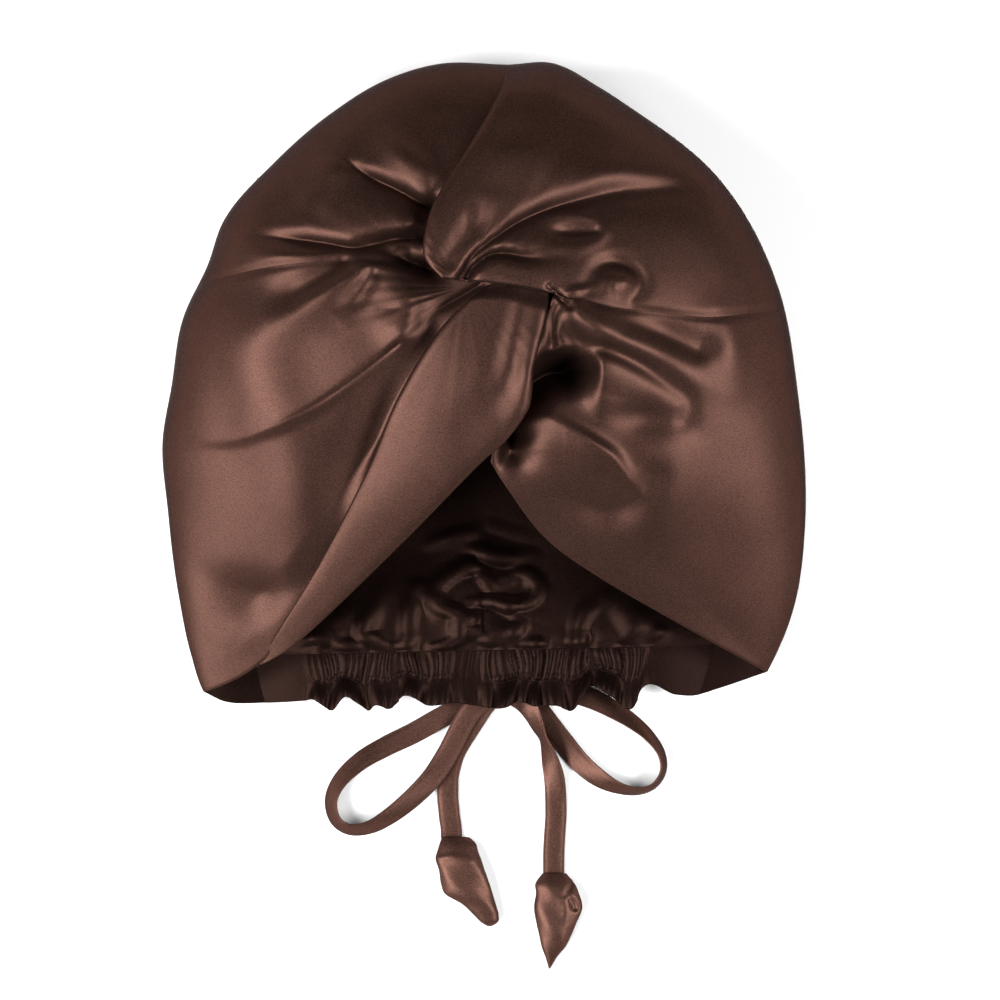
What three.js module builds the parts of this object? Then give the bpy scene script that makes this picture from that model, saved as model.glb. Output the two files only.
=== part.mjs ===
// A sleep bonnet of double satin with a twisted front, lying on its back. The face opening is an upside-down V
// above the gathered nape band, and the nape strings are tied in a bow that lies on the surface beyond the band.
// Millimetres, +Z up, crown towards +Y, nape towards -Y. The origin is on the surface, under the bonnet's middle.

import * as THREE from "three";
import { LoftGeometry } from "three/addons/geometries/LoftGeometry.js";

// Sizes of the bonnet.
const BONNET_WIDTH = 296; // side to side, where the outline's reach is 1
const BONNET_LENGTH = 299; // crown to nape, likewise
const BONNET_DEPTH = 98; // surface to the top of the front
const CLOTH = 1.5; // wall of double satin

// Clearances.
const SEAM_GAP = 0.3; // between two pieces that are sewn together
const LAYER_GAP = 0.6; // between two cloths that lie over each other
const FLOOR_GAP = 0.2; // strings, knot and tips lie this far above the surface

// Edges and the twist.
const EDGE_CURL = 2.2; // how far a folded edge curls down
const EDGE_CURL_WIDTH = 5; // over this width
const TWIST_SINK = 8; // how deep the twist draws the cloths in
const TWIST_WIDTH = 22;
const STRIP_DIVE = 6; // how deep the strip's upper end lies under the tongue

// The nape band: a casing that elastic gathers, with a frill below it.
const CASING_WIDTH = 155;
const CASING_OFFSET = -3; // its middle lies a little to the left
const CASING_PLEATS = 16;
const CASING_PLEAT_HEIGHT = 3.4;
const GATHER_LENGTH = 36; // how far its gathers reach into the back
const GATHER_HEIGHT = 4;
const STITCH_SHARE = 0.5; // of the band's width lies above the stitching that closes the casing
const FRILL_WAVES = 9;
const FRILL_WAVE_HEIGHT = 5;

// Strings, knot and the leaf-shaped tips.
const STRING_WIDTH = 10;
const STRING_THICKNESS = 1.2;
const KNOT_WIDTH = 14;
const KNOT_HEIGHT = 7.4;
const KNOT_BEVEL = 1.4;
const KNOT_SIDES = 12;
const TIP_LENGTH = 44.5;
const TIP_WIDTH = 22.5;
const TIP_THICKNESS = 9;

// The casing rests on the knot, so the nape is lifted that far.
const NAPE_LIFT = FLOOR_GAP + KNOT_HEIGHT + SEAM_GAP;
const BOW_PLACE = { across: 0.047, along: -0.938 };

// Outline seen from above. turn is in degrees from +X, reach is a share of half the width and half the length,
// and edge is the height of the side seam as a share of the depth. The rows below the corners carry the nape.
const OUTLINE = [
  { turn: -45, reach: 1.254, edge: 0.12 },
  { turn: -36, reach: 1.19, edge: 0.2 },
  { turn: -24, reach: 1.092, edge: 0.29 },
  { turn: -12, reach: 1.016, edge: 0.34 },
  { turn: 0, reach: 0.97, edge: 0.36 },
  { turn: 18, reach: 0.96, edge: 0.37 },
  { turn: 42, reach: 0.966, edge: 0.36 },
  { turn: 60, reach: 0.964, edge: 0.35 },
  { turn: 69, reach: 0.985, edge: 0.34 },
  { turn: 78, reach: 1.014, edge: 0.34 },
  { turn: 86, reach: 0.99, edge: 0.34 },
  { turn: 98, reach: 1.0, edge: 0.34 },
  { turn: 108, reach: 0.99, edge: 0.34 },
  { turn: 120, reach: 0.964, edge: 0.35 },
  { turn: 134, reach: 0.948, edge: 0.36 },
  { turn: 148, reach: 0.957, edge: 0.37 },
  { turn: 157, reach: 0.938, edge: 0.37 },
  { turn: 168, reach: 0.962, edge: 0.36 },
  { turn: 180, reach: 0.975, edge: 0.35 },
  { turn: 190, reach: 1.02, edge: 0.33 },
  { turn: 202, reach: 1.066, edge: 0.28 },
  { turn: 214, reach: 1.157, edge: 0.21 },
  { turn: 222, reach: 1.242, edge: 0.15 },
  { turn: 227, reach: 1.297, edge: 0.12 },
  { turn: 240, reach: 1.36, edge: 0.11 },
  { turn: 270, reach: 1.34, edge: 0.11 },
  { turn: 300, reach: 1.3, edge: 0.11 },
];

// The front cloths share the outline between the two corners. Each takes its part in so many steps.
const RIM = {
  frontRight: { from: -45, to: 14, steps: 14 },
  crownRight: { from: 14, to: 86, steps: 18 },
  crownLeft: { from: 86, to: 161, steps: 14 },
  frontLeft: { from: 161, to: 227, steps: 14 },
};
const RIGHT_CORNER = RIM.frontRight.from;
const LEFT_CORNER = RIM.frontLeft.to;

// Height of the front along the middle line, as a share of the depth.
const CREST = [
  { along: -1.0, crest: 0.27 },
  { along: -0.6, crest: 0.54 },
  { along: -0.25, crest: 0.79 },
  { along: 0.0, crest: 0.92 },
  { along: 0.3, crest: 0.985 },
  { along: 0.6, crest: 0.96 },
  { along: 1.0, crest: 0.86 },
];
const FRONT_FULLNESS = 2.6;
const FRONT_ROUNDNESS = 0.52;
const FLAT_SHARE = 0.62; // this share of the back's reach lies flat on the surface
const FOLDS_END = { from: 0.72, to: 0.99 }; // shares of the reach over which the front's folds flatten out
const FOLD_END_HEIGHT = 0.4; // share of a fold's height that is left at its far end
const UPRIGHT_TO = { from: 0.3, to: 0.6 }; // shares of the right seam over which its cut turns square to the cloth

// Rows and columns of the meshes beside those of the outline.
const ROWS = { left: 14, right: 16, strip: 18, back: 6, napeSeam: 44, napeEnd: 6, pleat: 4, fold: 16 };
const COLUMNS = { strip: 7, nape: 6 };
const ROW_CROWDING = 0.65; // how far rows crowd towards the outline, where the cloth turns down steeply

// Where the back panel ends, the frill below it, and the lift between them.
const NAPE_LIFT_FROM = -0.48;
const NAPE_LIFT_TO = -0.8;
const FRILL_EDGE = [
  { across: -0.8845, along: -0.9486 },
  { across: -0.82, along: -0.979 },
  { across: -0.7, along: -0.983 },
  { across: -0.565, along: -0.975 },
  { across: -0.478, along: -1.003 },
  { across: -0.441, along: -0.963 },
  { across: -0.365, along: -1.006 },
  { across: -0.3, along: -1.0 },
  { across: -0.252, along: -0.96 },
  { across: -0.18, along: -0.99 },
  { across: -0.03, along: -0.988 },
  { across: 0.056, along: -0.998 },
  { across: 0.1, along: -0.982 },
  { across: 0.22, along: -0.995 },
  { across: 0.28, along: -1.003 },
  { across: 0.323, along: -0.932 },
  { across: 0.388, along: -0.957 },
  { across: 0.466, along: -0.994 },
  { across: 0.491, along: -0.938 },
  { across: 0.658, along: -0.96 },
  { across: 0.73, along: -0.94 },
  { across: 0.8867, along: -0.8867 },
];

// Folds of the front cloths. Each runs along a curve from one place through another to a third, given as shares of
// half the width (across) and half the length (along). width is a share of the width and height of the depth;
// a valley has a negative height. fade is how much of the width is left at the far end.
const LEFT_FOLDS = [
  { from: [-0.04, 0.77], by: [-0.13, 0.86], to: [-0.24, 0.92], width: 0.022, height: -0.07, fade: 0.4 },
  { from: [-0.14, 0.66], by: [-0.24, 0.72], to: [-0.4, 0.84], width: 0.05, height: 0.05, fade: 0.5 },
  { from: [-0.15, 0.53], by: [-0.3, 0.6], to: [-0.46, 0.69], width: 0.022, height: -0.08, fade: 0.4 },
  { from: [-0.2, 0.49], by: [-0.36, 0.56], to: [-0.66, 0.52], width: 0.05, height: 0.06, fade: 0.6 },
  { from: [-0.19, 0.43], by: [-0.45, 0.39], to: [-0.8, 0.47], width: 0.02, height: -0.08, fade: 0.7 },
  { from: [-0.26, 0.37], by: [-0.45, 0.34], to: [-0.8, 0.37], width: 0.035, height: 0.035, fade: 0.8 },
  { from: [-0.34, 0.37], by: [-0.5, 0.28], to: [-0.66, 0.2], width: 0.026, height: -0.06, fade: 0.5 },
  { from: [-0.24, 0.29], by: [-0.5, 0.14], to: [-0.8, 0.0], width: 0.045, height: 0.06, fade: 1.2 },
  { from: [-0.22, 0.14], by: [-0.4, 0.0], to: [-0.58, -0.12], width: 0.026, height: -0.06, fade: 0.6 },
  { from: [-0.5, -0.08], by: [-0.68, -0.17], to: [-0.92, -0.19], width: 0.035, height: 0.05, fade: 0.8 },
  { from: [-0.62, -0.24], by: [-0.68, -0.42], to: [-0.64, -0.56], width: 0.075, height: 0.06, fade: 0.8 },
  { from: [-0.84, -0.6], by: [-0.7, -0.64], to: [-0.58, -0.62], width: 0.045, height: -0.045, fade: 0.8 },
];
const RIGHT_FOLDS = [
  { from: [0.06, 0.66], by: [0.14, 0.76], to: [0.26, 0.84], width: 0.09, height: 0.05, fade: 1 },
  { from: [-0.05, 0.38], by: [0.02, 0.5], to: [0.08, 0.6], width: 0.025, height: -0.045, fade: 0.5 },
  { from: [-0.02, 0.37], by: [0.12, 0.53], to: [0.62, 0.6], width: 0.022, height: -0.1, fade: 0.7 },
  { from: [0.1, 0.58], by: [0.4, 0.66], to: [0.7, 0.63], width: 0.04, height: 0.05, fade: 0.8 },
  { from: [0.05, 0.42], by: [0.2, 0.56], to: [0.42, 0.48], width: 0.028, height: 0.045, fade: 0.6 },
  { from: [0.03, 0.37], by: [0.18, 0.38], to: [0.36, 0.46], width: 0.02, height: -0.06, fade: 0.6 },
  { from: [0.1, 0.33], by: [0.24, 0.35], to: [0.42, 0.4], width: 0.025, height: 0.035, fade: 0.8 },
  { from: [0.3, 0.28], by: [0.42, 0.42], to: [0.46, 0.27], width: 0.022, height: -0.05, fade: 0.8 },
  { from: [0.27, 0.19], by: [0.4, 0.12], to: [0.62, 0.05], width: 0.028, height: 0.07, fade: 0.9 },
  { from: [0.26, 0.12], by: [0.4, 0.08], to: [0.66, -0.06], width: 0.024, height: -0.06, fade: 0.8 },
  { from: [0.22, 0.1], by: [0.38, 0.04], to: [0.6, -0.14], width: 0.045, height: 0.05, fade: 1.2 },
  { from: [0.17, 0.04], by: [0.25, 0.07], to: [0.32, 0.02], width: 0.035, height: -0.15, fade: 0.7 },
  { from: [0.18, -0.08], by: [0.34, -0.16], to: [0.48, -0.3], width: 0.026, height: 0.07, fade: 0.7 },
  { from: [0.1, -0.12], by: [0.16, -0.2], to: [0.4, -0.37], width: 0.035, height: -0.06, fade: 0.8 },
  { from: [0.56, -0.1], by: [0.68, -0.26], to: [0.66, -0.44], width: 0.07, height: 0.05, fade: 0.9 },
];
const STRIP_FOLDS = [
  { from: [0.08, 0.2], by: [0.02, 0.0], to: [-0.16, -0.24], width: 0.05, height: 0.03, fade: 1.4 },
];
// Folds of the back, drawn up from the gathered nape and seen inside through the face opening.
const BACK_FOLDS = [
  { from: [-0.05, -0.76], by: [-0.12, -0.6], to: [-0.06, -0.45], width: 0.022, height: 0.07, fade: 0.5 },
  { from: [0.02, -0.76], by: [0.04, -0.66], to: [0.08, -0.5], width: 0.02, height: 0.06, fade: 0.6 },
  { from: [-0.22, -0.76], by: [-0.2, -0.68], to: [-0.17, -0.56], width: 0.022, height: 0.05, fade: 0.5 },
  { from: [-0.4, -0.76], by: [-0.36, -0.7], to: [-0.34, -0.6], width: 0.028, height: 0.05, fade: 0.5 },
  { from: [0.34, -0.76], by: [0.34, -0.66], to: [0.4, -0.56], width: 0.028, height: 0.055, fade: 0.5 },
  { from: [0.48, -0.76], by: [0.52, -0.7], to: [0.6, -0.62], width: 0.022, height: 0.045, fade: 0.5 },
];

// Routes of the strings, from the knot's middle: x, y, height above the surface and roll in degrees.
const STRING_ROUTES = {
  tie_loop_left: [
    [-6.9, -2.8, 1.0, 0], [-12.0, -6.0, 1.0, 0], [-19.3, -9.7, 1.0, 0], [-29.4, -15.2, 1.2, -4],
    [-40.9, -21.6, 1.9, -12], [-53.4, -27.6, 2.7, -22], [-65.3, -34.5, 3.6, -34], [-74.5, -43.2, 4.4, -46],
    [-78.7, -52.4, 4.8, -54], [-76.8, -61.6, 5.0, -58], [-69.9, -66.2, 5.0, -58], [-60.3, -64.9, 4.9, -50],
    [-50.6, -59.3, 4.7, -38], [-40.5, -51.1, 4.4, -24], [-31.7, -41.9, 4.2, -10], [-24.8, -31.3, 4.2, 0],
    [-19.8, -21.6, 4.4, 0], [-15.2, -13.3, 4.6, 0], [-10.6, -7.8, 4.7, 0], [-5.8, -4.4, 4.7, 0],
  ],
  tie_loop_right: [
    [6.5, -3.5, 1.0, 0], [12.9, -6.9, 1.0, 0], [18.4, -11.5, 1.0, 0], [23.9, -18.4, 1.1, -3],
    [30.4, -26.7, 1.5, -7], [37.7, -35.4, 2.2, -16], [45.5, -41.9, 3.4, -31], [54.3, -46.5, 4.9, -54],
    [63.5, -48.3, 5.3, -68], [71.3, -46.0, 5.4, -74], [75.9, -39.1, 5.4, -74], [75.0, -30.4, 5.4, -70],
    [69.0, -22.1, 5.1, -60], [61.2, -15.6, 4.7, -48], [52.4, -10.1, 4.0, -34], [43.2, -5.5, 3.4, -20],
    [33.1, -2.3, 3.0, -8], [23.0, -0.9, 2.8, 0], [14.7, -0.2, 2.8, 0], [7.6, 0.0, 2.8, 0],
  ],
  tie_tail_left: [
    [-5.1, -5.4, 2.85, 0], [-8.7, -10.1, 2.85, 0], [-12.0, -15.2, 2.8, 0], [-15.2, -20.2, 2.2, 0],
    [-18.4, -25.3, 1.4, 0], [-21.2, -30.4, 0.9, 0], [-23.0, -35.9, 0.8, 0], [-24.2, -41.4, 0.8, 0],
    [-24.4, -46.9, 0.8, 0], [-24.4, -52.4, 0.8, 0], [-23.9, -57.0, 0.8, 0], [-23.5, -61.2, 0.8, 0],
    [-22.9, -64.9, 0.9, 0], [-22.7, -68.1, 1.1, 0], [-22.7, -70.4, 1.3, 0],
  ],
  tie_tail_right: [
    [6.5, -3.6, 4.7, 0], [9.6, -5.4, 4.7, -4], [12.5, -8.2, 4.6, -18], [15.2, -12.8, 4.6, -38],
    [17.9, -18.9, 5.0, -56], [20.2, -23.9, 5.3, -70], [22.1, -29.4, 5.0, -54], [23.7, -35.4, 4.0, -34],
    [25.1, -41.4, 2.8, -18], [25.8, -47.8, 1.6, -7], [26.0, -54.3, 0.9, 0], [26.0, -60.7, 0.8, 0],
    [25.6, -67.2, 0.8, 0], [25.2, -73.6, 0.8, 0], [25.0, -80.0, 0.9, 0], [25.0, -87.4, 1.2, 0],
  ],
};
const STRING_STEPS_PER_POINT = 1.4;
// Half sections of a string, as shares of half its width and half its thickness.
const STRING_SECTION = [[1, 0], [0.9, -1], [-0.9, -1], [-1, 0], [-0.9, 1], [0.9, 1]];

// Tips, from the end of their string towards -Y: along is a share of the length, left and right of the width,
// high of the thickness.
const LEFT_TIP = [
  { along: 0.0, left: -0.2, right: 0.36, high: 0.4 },
  { along: 0.06, left: -0.24, right: 0.5, high: 0.62 },
  { along: 0.14, left: -0.29, right: 0.55, high: 0.8 },
  { along: 0.22, left: -0.33, right: 0.61, high: 0.92 },
  { along: 0.34, left: -0.26, right: 0.69, high: 1.0 },
  { along: 0.5, left: -0.21, right: 0.8, high: 0.97 },
  { along: 0.6, left: -0.12, right: 0.86, high: 0.9 },
  { along: 0.7, left: 0.22, right: 0.92, high: 0.8 },
  { along: 0.82, left: 0.47, right: 0.98, high: 0.65 },
  { along: 0.9, left: 0.63, right: 0.95, high: 0.5 },
  { along: 0.935, left: 0.74, right: 0.84, high: 0.25 },
];
const RIGHT_TIP = [
  { along: 0.0, left: -0.24, right: 0.26, high: 0.4 },
  { along: 0.1, left: -0.38, right: 0.43, high: 0.75 },
  { along: 0.2, left: -0.37, right: 0.52, high: 0.92 },
  { along: 0.35, left: -0.41, right: 0.59, high: 1.0 },
  { along: 0.54, left: -0.35, right: 0.45, high: 0.95 },
  { along: 0.65, left: -0.3, right: 0.36, high: 0.85 },
  { along: 0.77, left: -0.25, right: 0.24, high: 0.68 },
  { along: 0.88, left: -0.17, right: 0.06, high: 0.45 },
  { along: 1.0, left: -0.1, right: -0.075, high: 0.2 },
];
const TIP_SIDES = 10;

const { degToRad, radToDeg, clamp, lerp, smoothstep } = THREE.MathUtils;
const bell = (distance, width) => Math.exp(-((distance / width) ** 2));
const steps = (count, map) => Array.from({ length: count + 1 }, (_, i) => map(i / count));

// Smooth lookup of one column of a table by another.
function column(table, key, name) {
  const from = table[0][key];
  const to = table.at(-1)[key];
  const curve = new THREE.CubicInterpolant(
    table.map((row) => row[key]),
    table.map((row) => row[name]),
    1,
  );
  return (at) => curve.evaluate(clamp(at, from, to))[0];
}
const wholeOutline = [...OUTLINE, { ...OUTLINE[0], turn: OUTLINE[0].turn + 360 }];
const reachAt = column(wholeOutline, "turn", "reach");
const edgeAt = column(wholeOutline, "turn", "edge");
const crestAt = column(CREST, "along", "crest");
const frillAt = column(FRILL_EDGE, "across", "along");

// Places on the plan, from shares and back.
const place = (across, along) => new THREE.Vector2((across * BONNET_WIDTH) / 2, (along * BONNET_LENGTH) / 2);
const acrossOf = (p) => (2 * p.x) / BONNET_WIDTH;
const alongOf = (p) => (2 * p.y) / BONNET_LENGTH;
const raised = (p, height) => new THREE.Vector3(p.x, p.y, height);

const towards = (p, q, distance) => p.clone().addScaledVector(q.clone().sub(p).normalize(), distance);

function turnOf(p) {
  const turn = radToDeg(Math.atan2(alongOf(p), acrossOf(p)));
  return turn < RIGHT_CORNER ? turn + 360 : turn;
}

function rimPlace(turn) {
  const reach = reachAt(turn);
  return place(reach * Math.cos(degToRad(turn)), reach * Math.sin(degToRad(turn)));
}

// 0 in the middle of the bonnet, 1 on its outline.
const rimShare = (p) => Math.min(1, Math.hypot(acrossOf(p), alongOf(p)) / reachAt(turnOf(p)));
const edgeHeight = (p) => edgeAt(turnOf(p)) * BONNET_DEPTH;

function frontHeight(p) {
  const edge = edgeHeight(p) + SEAM_GAP / 2;
  const crest = crestAt(alongOf(p)) * BONNET_DEPTH;
  return edge + (crest - edge) * (1 - rimShare(p) ** FRONT_FULLNESS) ** FRONT_ROUNDNESS;
}

function backHeight(p) {
  const climb = clamp((rimShare(p) - FLAT_SHARE) / (1 - FLAT_SHARE), 0, 1);
  const rim = (edgeHeight(p) - SEAM_GAP / 2) * (1 - Math.sqrt(1 - climb * climb));
  const nape = 1 - smoothstep(alongOf(p), NAPE_LIFT_TO, NAPE_LIFT_FROM);
  const beside = 1 - smoothstep(Math.abs(acrossOf(p)), 0.5, 0.85);
  return Math.max(rim, NAPE_LIFT * nape * beside);
}

// Sum of a table's folds at a place.
function foldRelief(folds) {
  const curves = folds.map((fold) => {
    const [from, by, to] = [fold.from, fold.by, fold.to].map(([across, along]) => place(across, along));
    return { ...fold, points: new THREE.QuadraticBezierCurve(from, by, to).getPoints(ROWS.fold) };
  });
  return (p) => {
    let total = 0;
    for (const { width, height, fade, points } of curves) {
      const { distance, share } = nearestOn(points, p);
      const reach = width * BONNET_WIDTH * lerp(1, fade, share);
      total += height * BONNET_DEPTH * lerp(1, FOLD_END_HEIGHT, share) * bell(distance, reach);
    }
    return total;
  };
}

// How far a place is from a line through points, and at what share of the line's points it is nearest.
function nearestOn(points, p) {
  let best = { distance: Infinity, share: 0 };
  for (let i = 1; i < points.length; i++) {
    const step = points[i].clone().sub(points[i - 1]);
    const along = clamp(p.clone().sub(points[i - 1]).dot(step) / step.lengthSq(), 0, 1);
    const distance = points[i - 1].clone().addScaledVector(step, along).distanceTo(p);
    if (distance < best.distance) best = { distance, share: (i - 1 + along) / (points.length - 1) };
  }
  return best;
}
const leftRelief = foldRelief(LEFT_FOLDS);
const rightRelief = foldRelief(RIGHT_FOLDS);
const stripRelief = foldRelief(STRIP_FOLDS);
const backRelief = foldRelief(BACK_FOLDS);

// Folds flatten out where the cloth turns down over the outline.
const rimFade = (p) => 1 - smoothstep(rimShare(p), FOLDS_END.from, FOLDS_END.to);

// A smooth curve through places given as shares, as a function of 0 to 1. It may end at a place on the outline.
function through(shares, end) {
  const points = shares.map(([across, along]) => place(across, along));
  const curve = new THREE.SplineCurve(end ? [...points, end] : points);
  return (t) => curve.getPointAt(t);
}
const rimArc = ({ from, to }) => (t) => rimPlace(lerp(from, to, t));
const backwards = (curve) => (t) => curve(1 - t);

// The plan of a cloth between four curves: low and high run from the twist outwards, inner and outer across it.
function planBetween({ low, high, inner, outer }) {
  const corners = [inner(0), inner(1), outer(0), outer(1)];
  return (u, v) => {
    const p = new THREE.Vector2();
    p.addScaledVector(low(v), 1 - u).addScaledVector(high(v), u);
    p.addScaledVector(inner(u), 1 - v).addScaledVector(outer(u), v);
    p.addScaledVector(corners[0], -(1 - u) * (1 - v)).addScaledVector(corners[1], -u * (1 - v));
    return p.addScaledVector(corners[2], -(1 - u) * v).addScaledVector(corners[3], -u * v);
  };
}

const rowsTowardsRim = (count) => steps(count, (t) => lerp(t, Math.sin((t * Math.PI) / 2), ROW_CROWDING));

// A cloth wall of even thickness below or above a surface(u, v): closed rings of the surface's points and those a
// cloth's thickness inside, lofted along v. rimmed says which ends lie on the outline, where the wall stands upright,
// and upright which long edge is cut upright near the twist. Both long edges stop half a gap short, so that the piece
// sewn on there keeps clear.
function clothWall(surface, columns, rows, { inside = -1, rimmed = [], upright = [] }) {
  const step = 1e-3;
  const us = steps(columns, (t) => t);
  const faces = [];
  const linings = [];
  for (const v of rows) {
    const row = us.map((u) => {
      const [u0, u1] = [Math.max(0, u - step), Math.min(1, u + step)];
      const [v0, v1] = [Math.max(0, v - step), Math.min(1, v + step)];
      const across = surface(u1, v).sub(surface(u0, v));
      const along = surface(u, v1).sub(surface(u, v0));
      const normal = across.clone().cross(along).normalize();
      if (normal.z * inside < 0) normal.negate();
      if (upright.includes(u)) {
        const cut = new THREE.Vector3(0, 0, inside).projectOnPlane(along.clone().normalize());
        normal.lerp(cut.normalize(), 1 - smoothstep(v, UPRIGHT_TO.from, UPRIGHT_TO.to)).normalize();
      }
      const inwards = along.cross(normal).normalize();
      if (inwards.dot(across) * (u === 0 ? 1 : -1) < 0) inwards.negate();
      const face = surface(u, v);
      if (u === 0 || u === 1) face.addScaledVector(inwards, SEAM_GAP / 2);
      if (rimmed.includes(v)) normal.setZ(0).normalize();
      return { face, lining: face.clone().addScaledVector(normal, CLOTH) };
    });
    faces.push(row.map(({ face }) => face));
    linings.push(row.map(({ lining }) => lining));
  }
  const rings = faces.map((face, j) => [...face, ...linings[j].slice().reverse()]);
  const sealed = (j) => {
    const middle = faces[j].map((p, i) => p.clone().lerp(linings[j][i], 0.5));
    return [...middle, ...middle.slice().reverse()];
  };
  return solid(new LoftGeometry([sealed(0), ...rings, sealed(rows.length - 1)]));
}

// A plain geometry of positions alone, its faces turned outwards if its sections ran the other way round.
function solid(loft) {
  const at = loft.getAttribute("position");
  const index = Array.from(loft.getIndex().array);
  const corner = (i) => new THREE.Vector3().fromBufferAttribute(at, index[i]);
  let volume = 0;
  for (let i = 0; i < index.length; i += 3) volume += corner(i).dot(corner(i + 1).cross(corner(i + 2)));
  const geometry = new THREE.BufferGeometry();
  geometry.setAttribute("position", at.clone());
  geometry.setIndex(volume < 0 ? index.reverse() : index);
  return geometry;
}

const SATIN = { color: 0x5a3c32, roughness: 0.42, metalness: 0.25 };
const SATIN_SHADE = { color: 0x3c2721, roughness: 0.5, metalness: 0.2 };

function piece(name, geometry, finish = SATIN) {
  const mesh = new THREE.Mesh(geometry, new THREE.MeshStandardMaterial(finish));
  mesh.name = name;
  return mesh;
}

// How far a folded edge has curled down at this distance from it.
function curl(distance) {
  const share = clamp(1 - distance / EDGE_CURL_WIDTH, 0, 1);
  return EDGE_CURL * (1 - Math.sqrt(1 - share * share));
}

// Seams and folded edges, each from the twist outwards.
const leftSeam = through(
  [[-0.14, 0.3], [-0.2, 0.33], [-0.31, 0.365], [-0.52, 0.37], [-0.69, 0.35]],
  rimPlace(RIM.crownLeft.to),
);
const rightSeam = through([[0.22, 0.27], [0.3, 0.24], [0.5, 0.215], [0.7, 0.2]], rimPlace(RIM.crownRight.from));
const lobeEdge = through(
  [[-0.13, 0.31], [-0.185, 0.38], [-0.175, 0.48], [-0.14, 0.57], [-0.04, 0.73], [0.045, 0.89]],
  rimPlace(RIM.crownRight.to),
);
const tongueEdge = through([[-0.13, 0.31], [-0.05, 0.305], [0.08, 0.29], [0.22, 0.27]]);
const stripLeft = through([
  [0.0, 0.29], [-0.14, 0.154], [-0.264, -0.046], [-0.357, -0.262], [-0.503, -0.538], [-0.612, -0.714],
  [-0.705, -0.855],
]);
const stripHem = through([
  [0.2, 0.28], [0.183, 0.178], [0.149, 0.043], [0.144, -0.03], [0.127, -0.092], [0.06, -0.18], [-0.02, -0.25],
  [-0.26, -0.49], [-0.57, -0.78], [-0.722, -0.873],
]);
const rightHem = through([[0.02, -0.24], [0.17, -0.45], [0.34, -0.58], [0.6, -0.73]], rimPlace(RIGHT_CORNER));

// Edges that lie hidden under another cloth.
const underLobe = through(
  [[-0.1, 0.36], [-0.12, 0.42], [-0.1, 0.52], [-0.06, 0.6], [0.01, 0.74], [0.05, 0.89]],
  rimPlace(RIM.crownRight.to),
);
const underStripLeft = through(
  [[-0.02, 0.25], [-0.07, 0.12], [-0.16, 0.0], [-0.28, -0.22], [-0.42, -0.46], [-0.54, -0.64], [-0.655, -0.805],
    [-0.72, -0.868], [-0.8, -0.915]],
  rimPlace(LEFT_CORNER),
);
const underStripRight = through([
  [0.22, 0.27], [0.215, 0.2], [0.2, 0.13], [0.15, 0.06], [0.09, 0.0], [0.07, -0.1], [0.02, -0.24],
]);

const twistPlace = place(-0.06, 0.29);
const twistSink = (p) => TWIST_SINK * bell(twistPlace.distanceTo(p), TWIST_WIDTH);
const layer = CLOTH + LAYER_GAP;

function crownPanelLeft() {
  const plan = planBetween({
    low: leftSeam,
    high: underLobe,
    inner: through([[-0.14, 0.3], [-0.11, 0.33], [-0.1, 0.36]]),
    outer: backwards(rimArc(RIM.crownLeft)),
  });
  const surface = (u, v) => {
    const p = plan(u, v);
    const open = 1 - smoothstep(u, 0.7, 0.9) * (1 - smoothstep(v, 0.85, 1));
    return raised(p, frontHeight(p) + leftRelief(p) * rimFade(p) * open - twistSink(p));
  };
  const wall = clothWall(surface, RIM.crownLeft.steps, rowsTowardsRim(ROWS.left), { rimmed: [1] });
  return piece("crown_panel_left", wall);
}

function frontBandLeft() {
  const plan = planBetween({
    low: underStripLeft,
    high: leftSeam,
    inner: through([[-0.02, 0.25], [-0.08, 0.265], [-0.14, 0.3]]),
    outer: backwards(rimArc(RIM.frontLeft)),
  });
  const surface = (u, v) => {
    const p = plan(u, v);
    const open = smoothstep(u, 0.08, 0.24);
    return raised(p, frontHeight(p) + leftRelief(p) * rimFade(p) * open - twistSink(p));
  };
  const wall = clothWall(surface, RIM.frontLeft.steps, rowsTowardsRim(ROWS.left), { rimmed: [1] });
  return piece("front_band_left", wall);
}

// The right cloth is lifted over the left one at the lobe and over the strip at the tongue. Both its pieces take the
// same lift along their seam.
const seamLift = (v) => layer * (1 - smoothstep(v, 0.05, 0.4));

function crownPanelRight() {
  const plan = planBetween({
    low: lobeEdge,
    high: rightSeam,
    inner: tongueEdge,
    outer: backwards(rimArc(RIM.crownRight)),
  });
  const surface = (u, v) => {
    const p = plan(u, v);
    const tongue = 1 - smoothstep(v, 0.1, 0.5);
    const lobe = (1 - smoothstep(u, 0.1, 0.5)) * (1 - smoothstep(v, 0.85, 1));
    const lift = lerp(Math.max(tongue, lobe) * (layer + EDGE_CURL), seamLift(v), smoothstep(u, 0.6, 1));
    const side = curl(p.distanceTo(lobeEdge(v))) * (1 - smoothstep(v, 0.85, 1));
    const front = curl(p.distanceTo(tongueEdge(u))) * (1 - smoothstep(u, 0.6, 1));
    const relief = rightRelief(p) * rimFade(p) * smoothstep(u + v, 0, 0.12);
    return raised(p, frontHeight(p) + relief + lift - Math.max(side, front));
  };
  const edges = { rimmed: [1], upright: [1] };
  const wall = clothWall(surface, RIM.crownRight.steps, rowsTowardsRim(ROWS.right), edges);
  return piece("crown_panel_right", wall);
}

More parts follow.
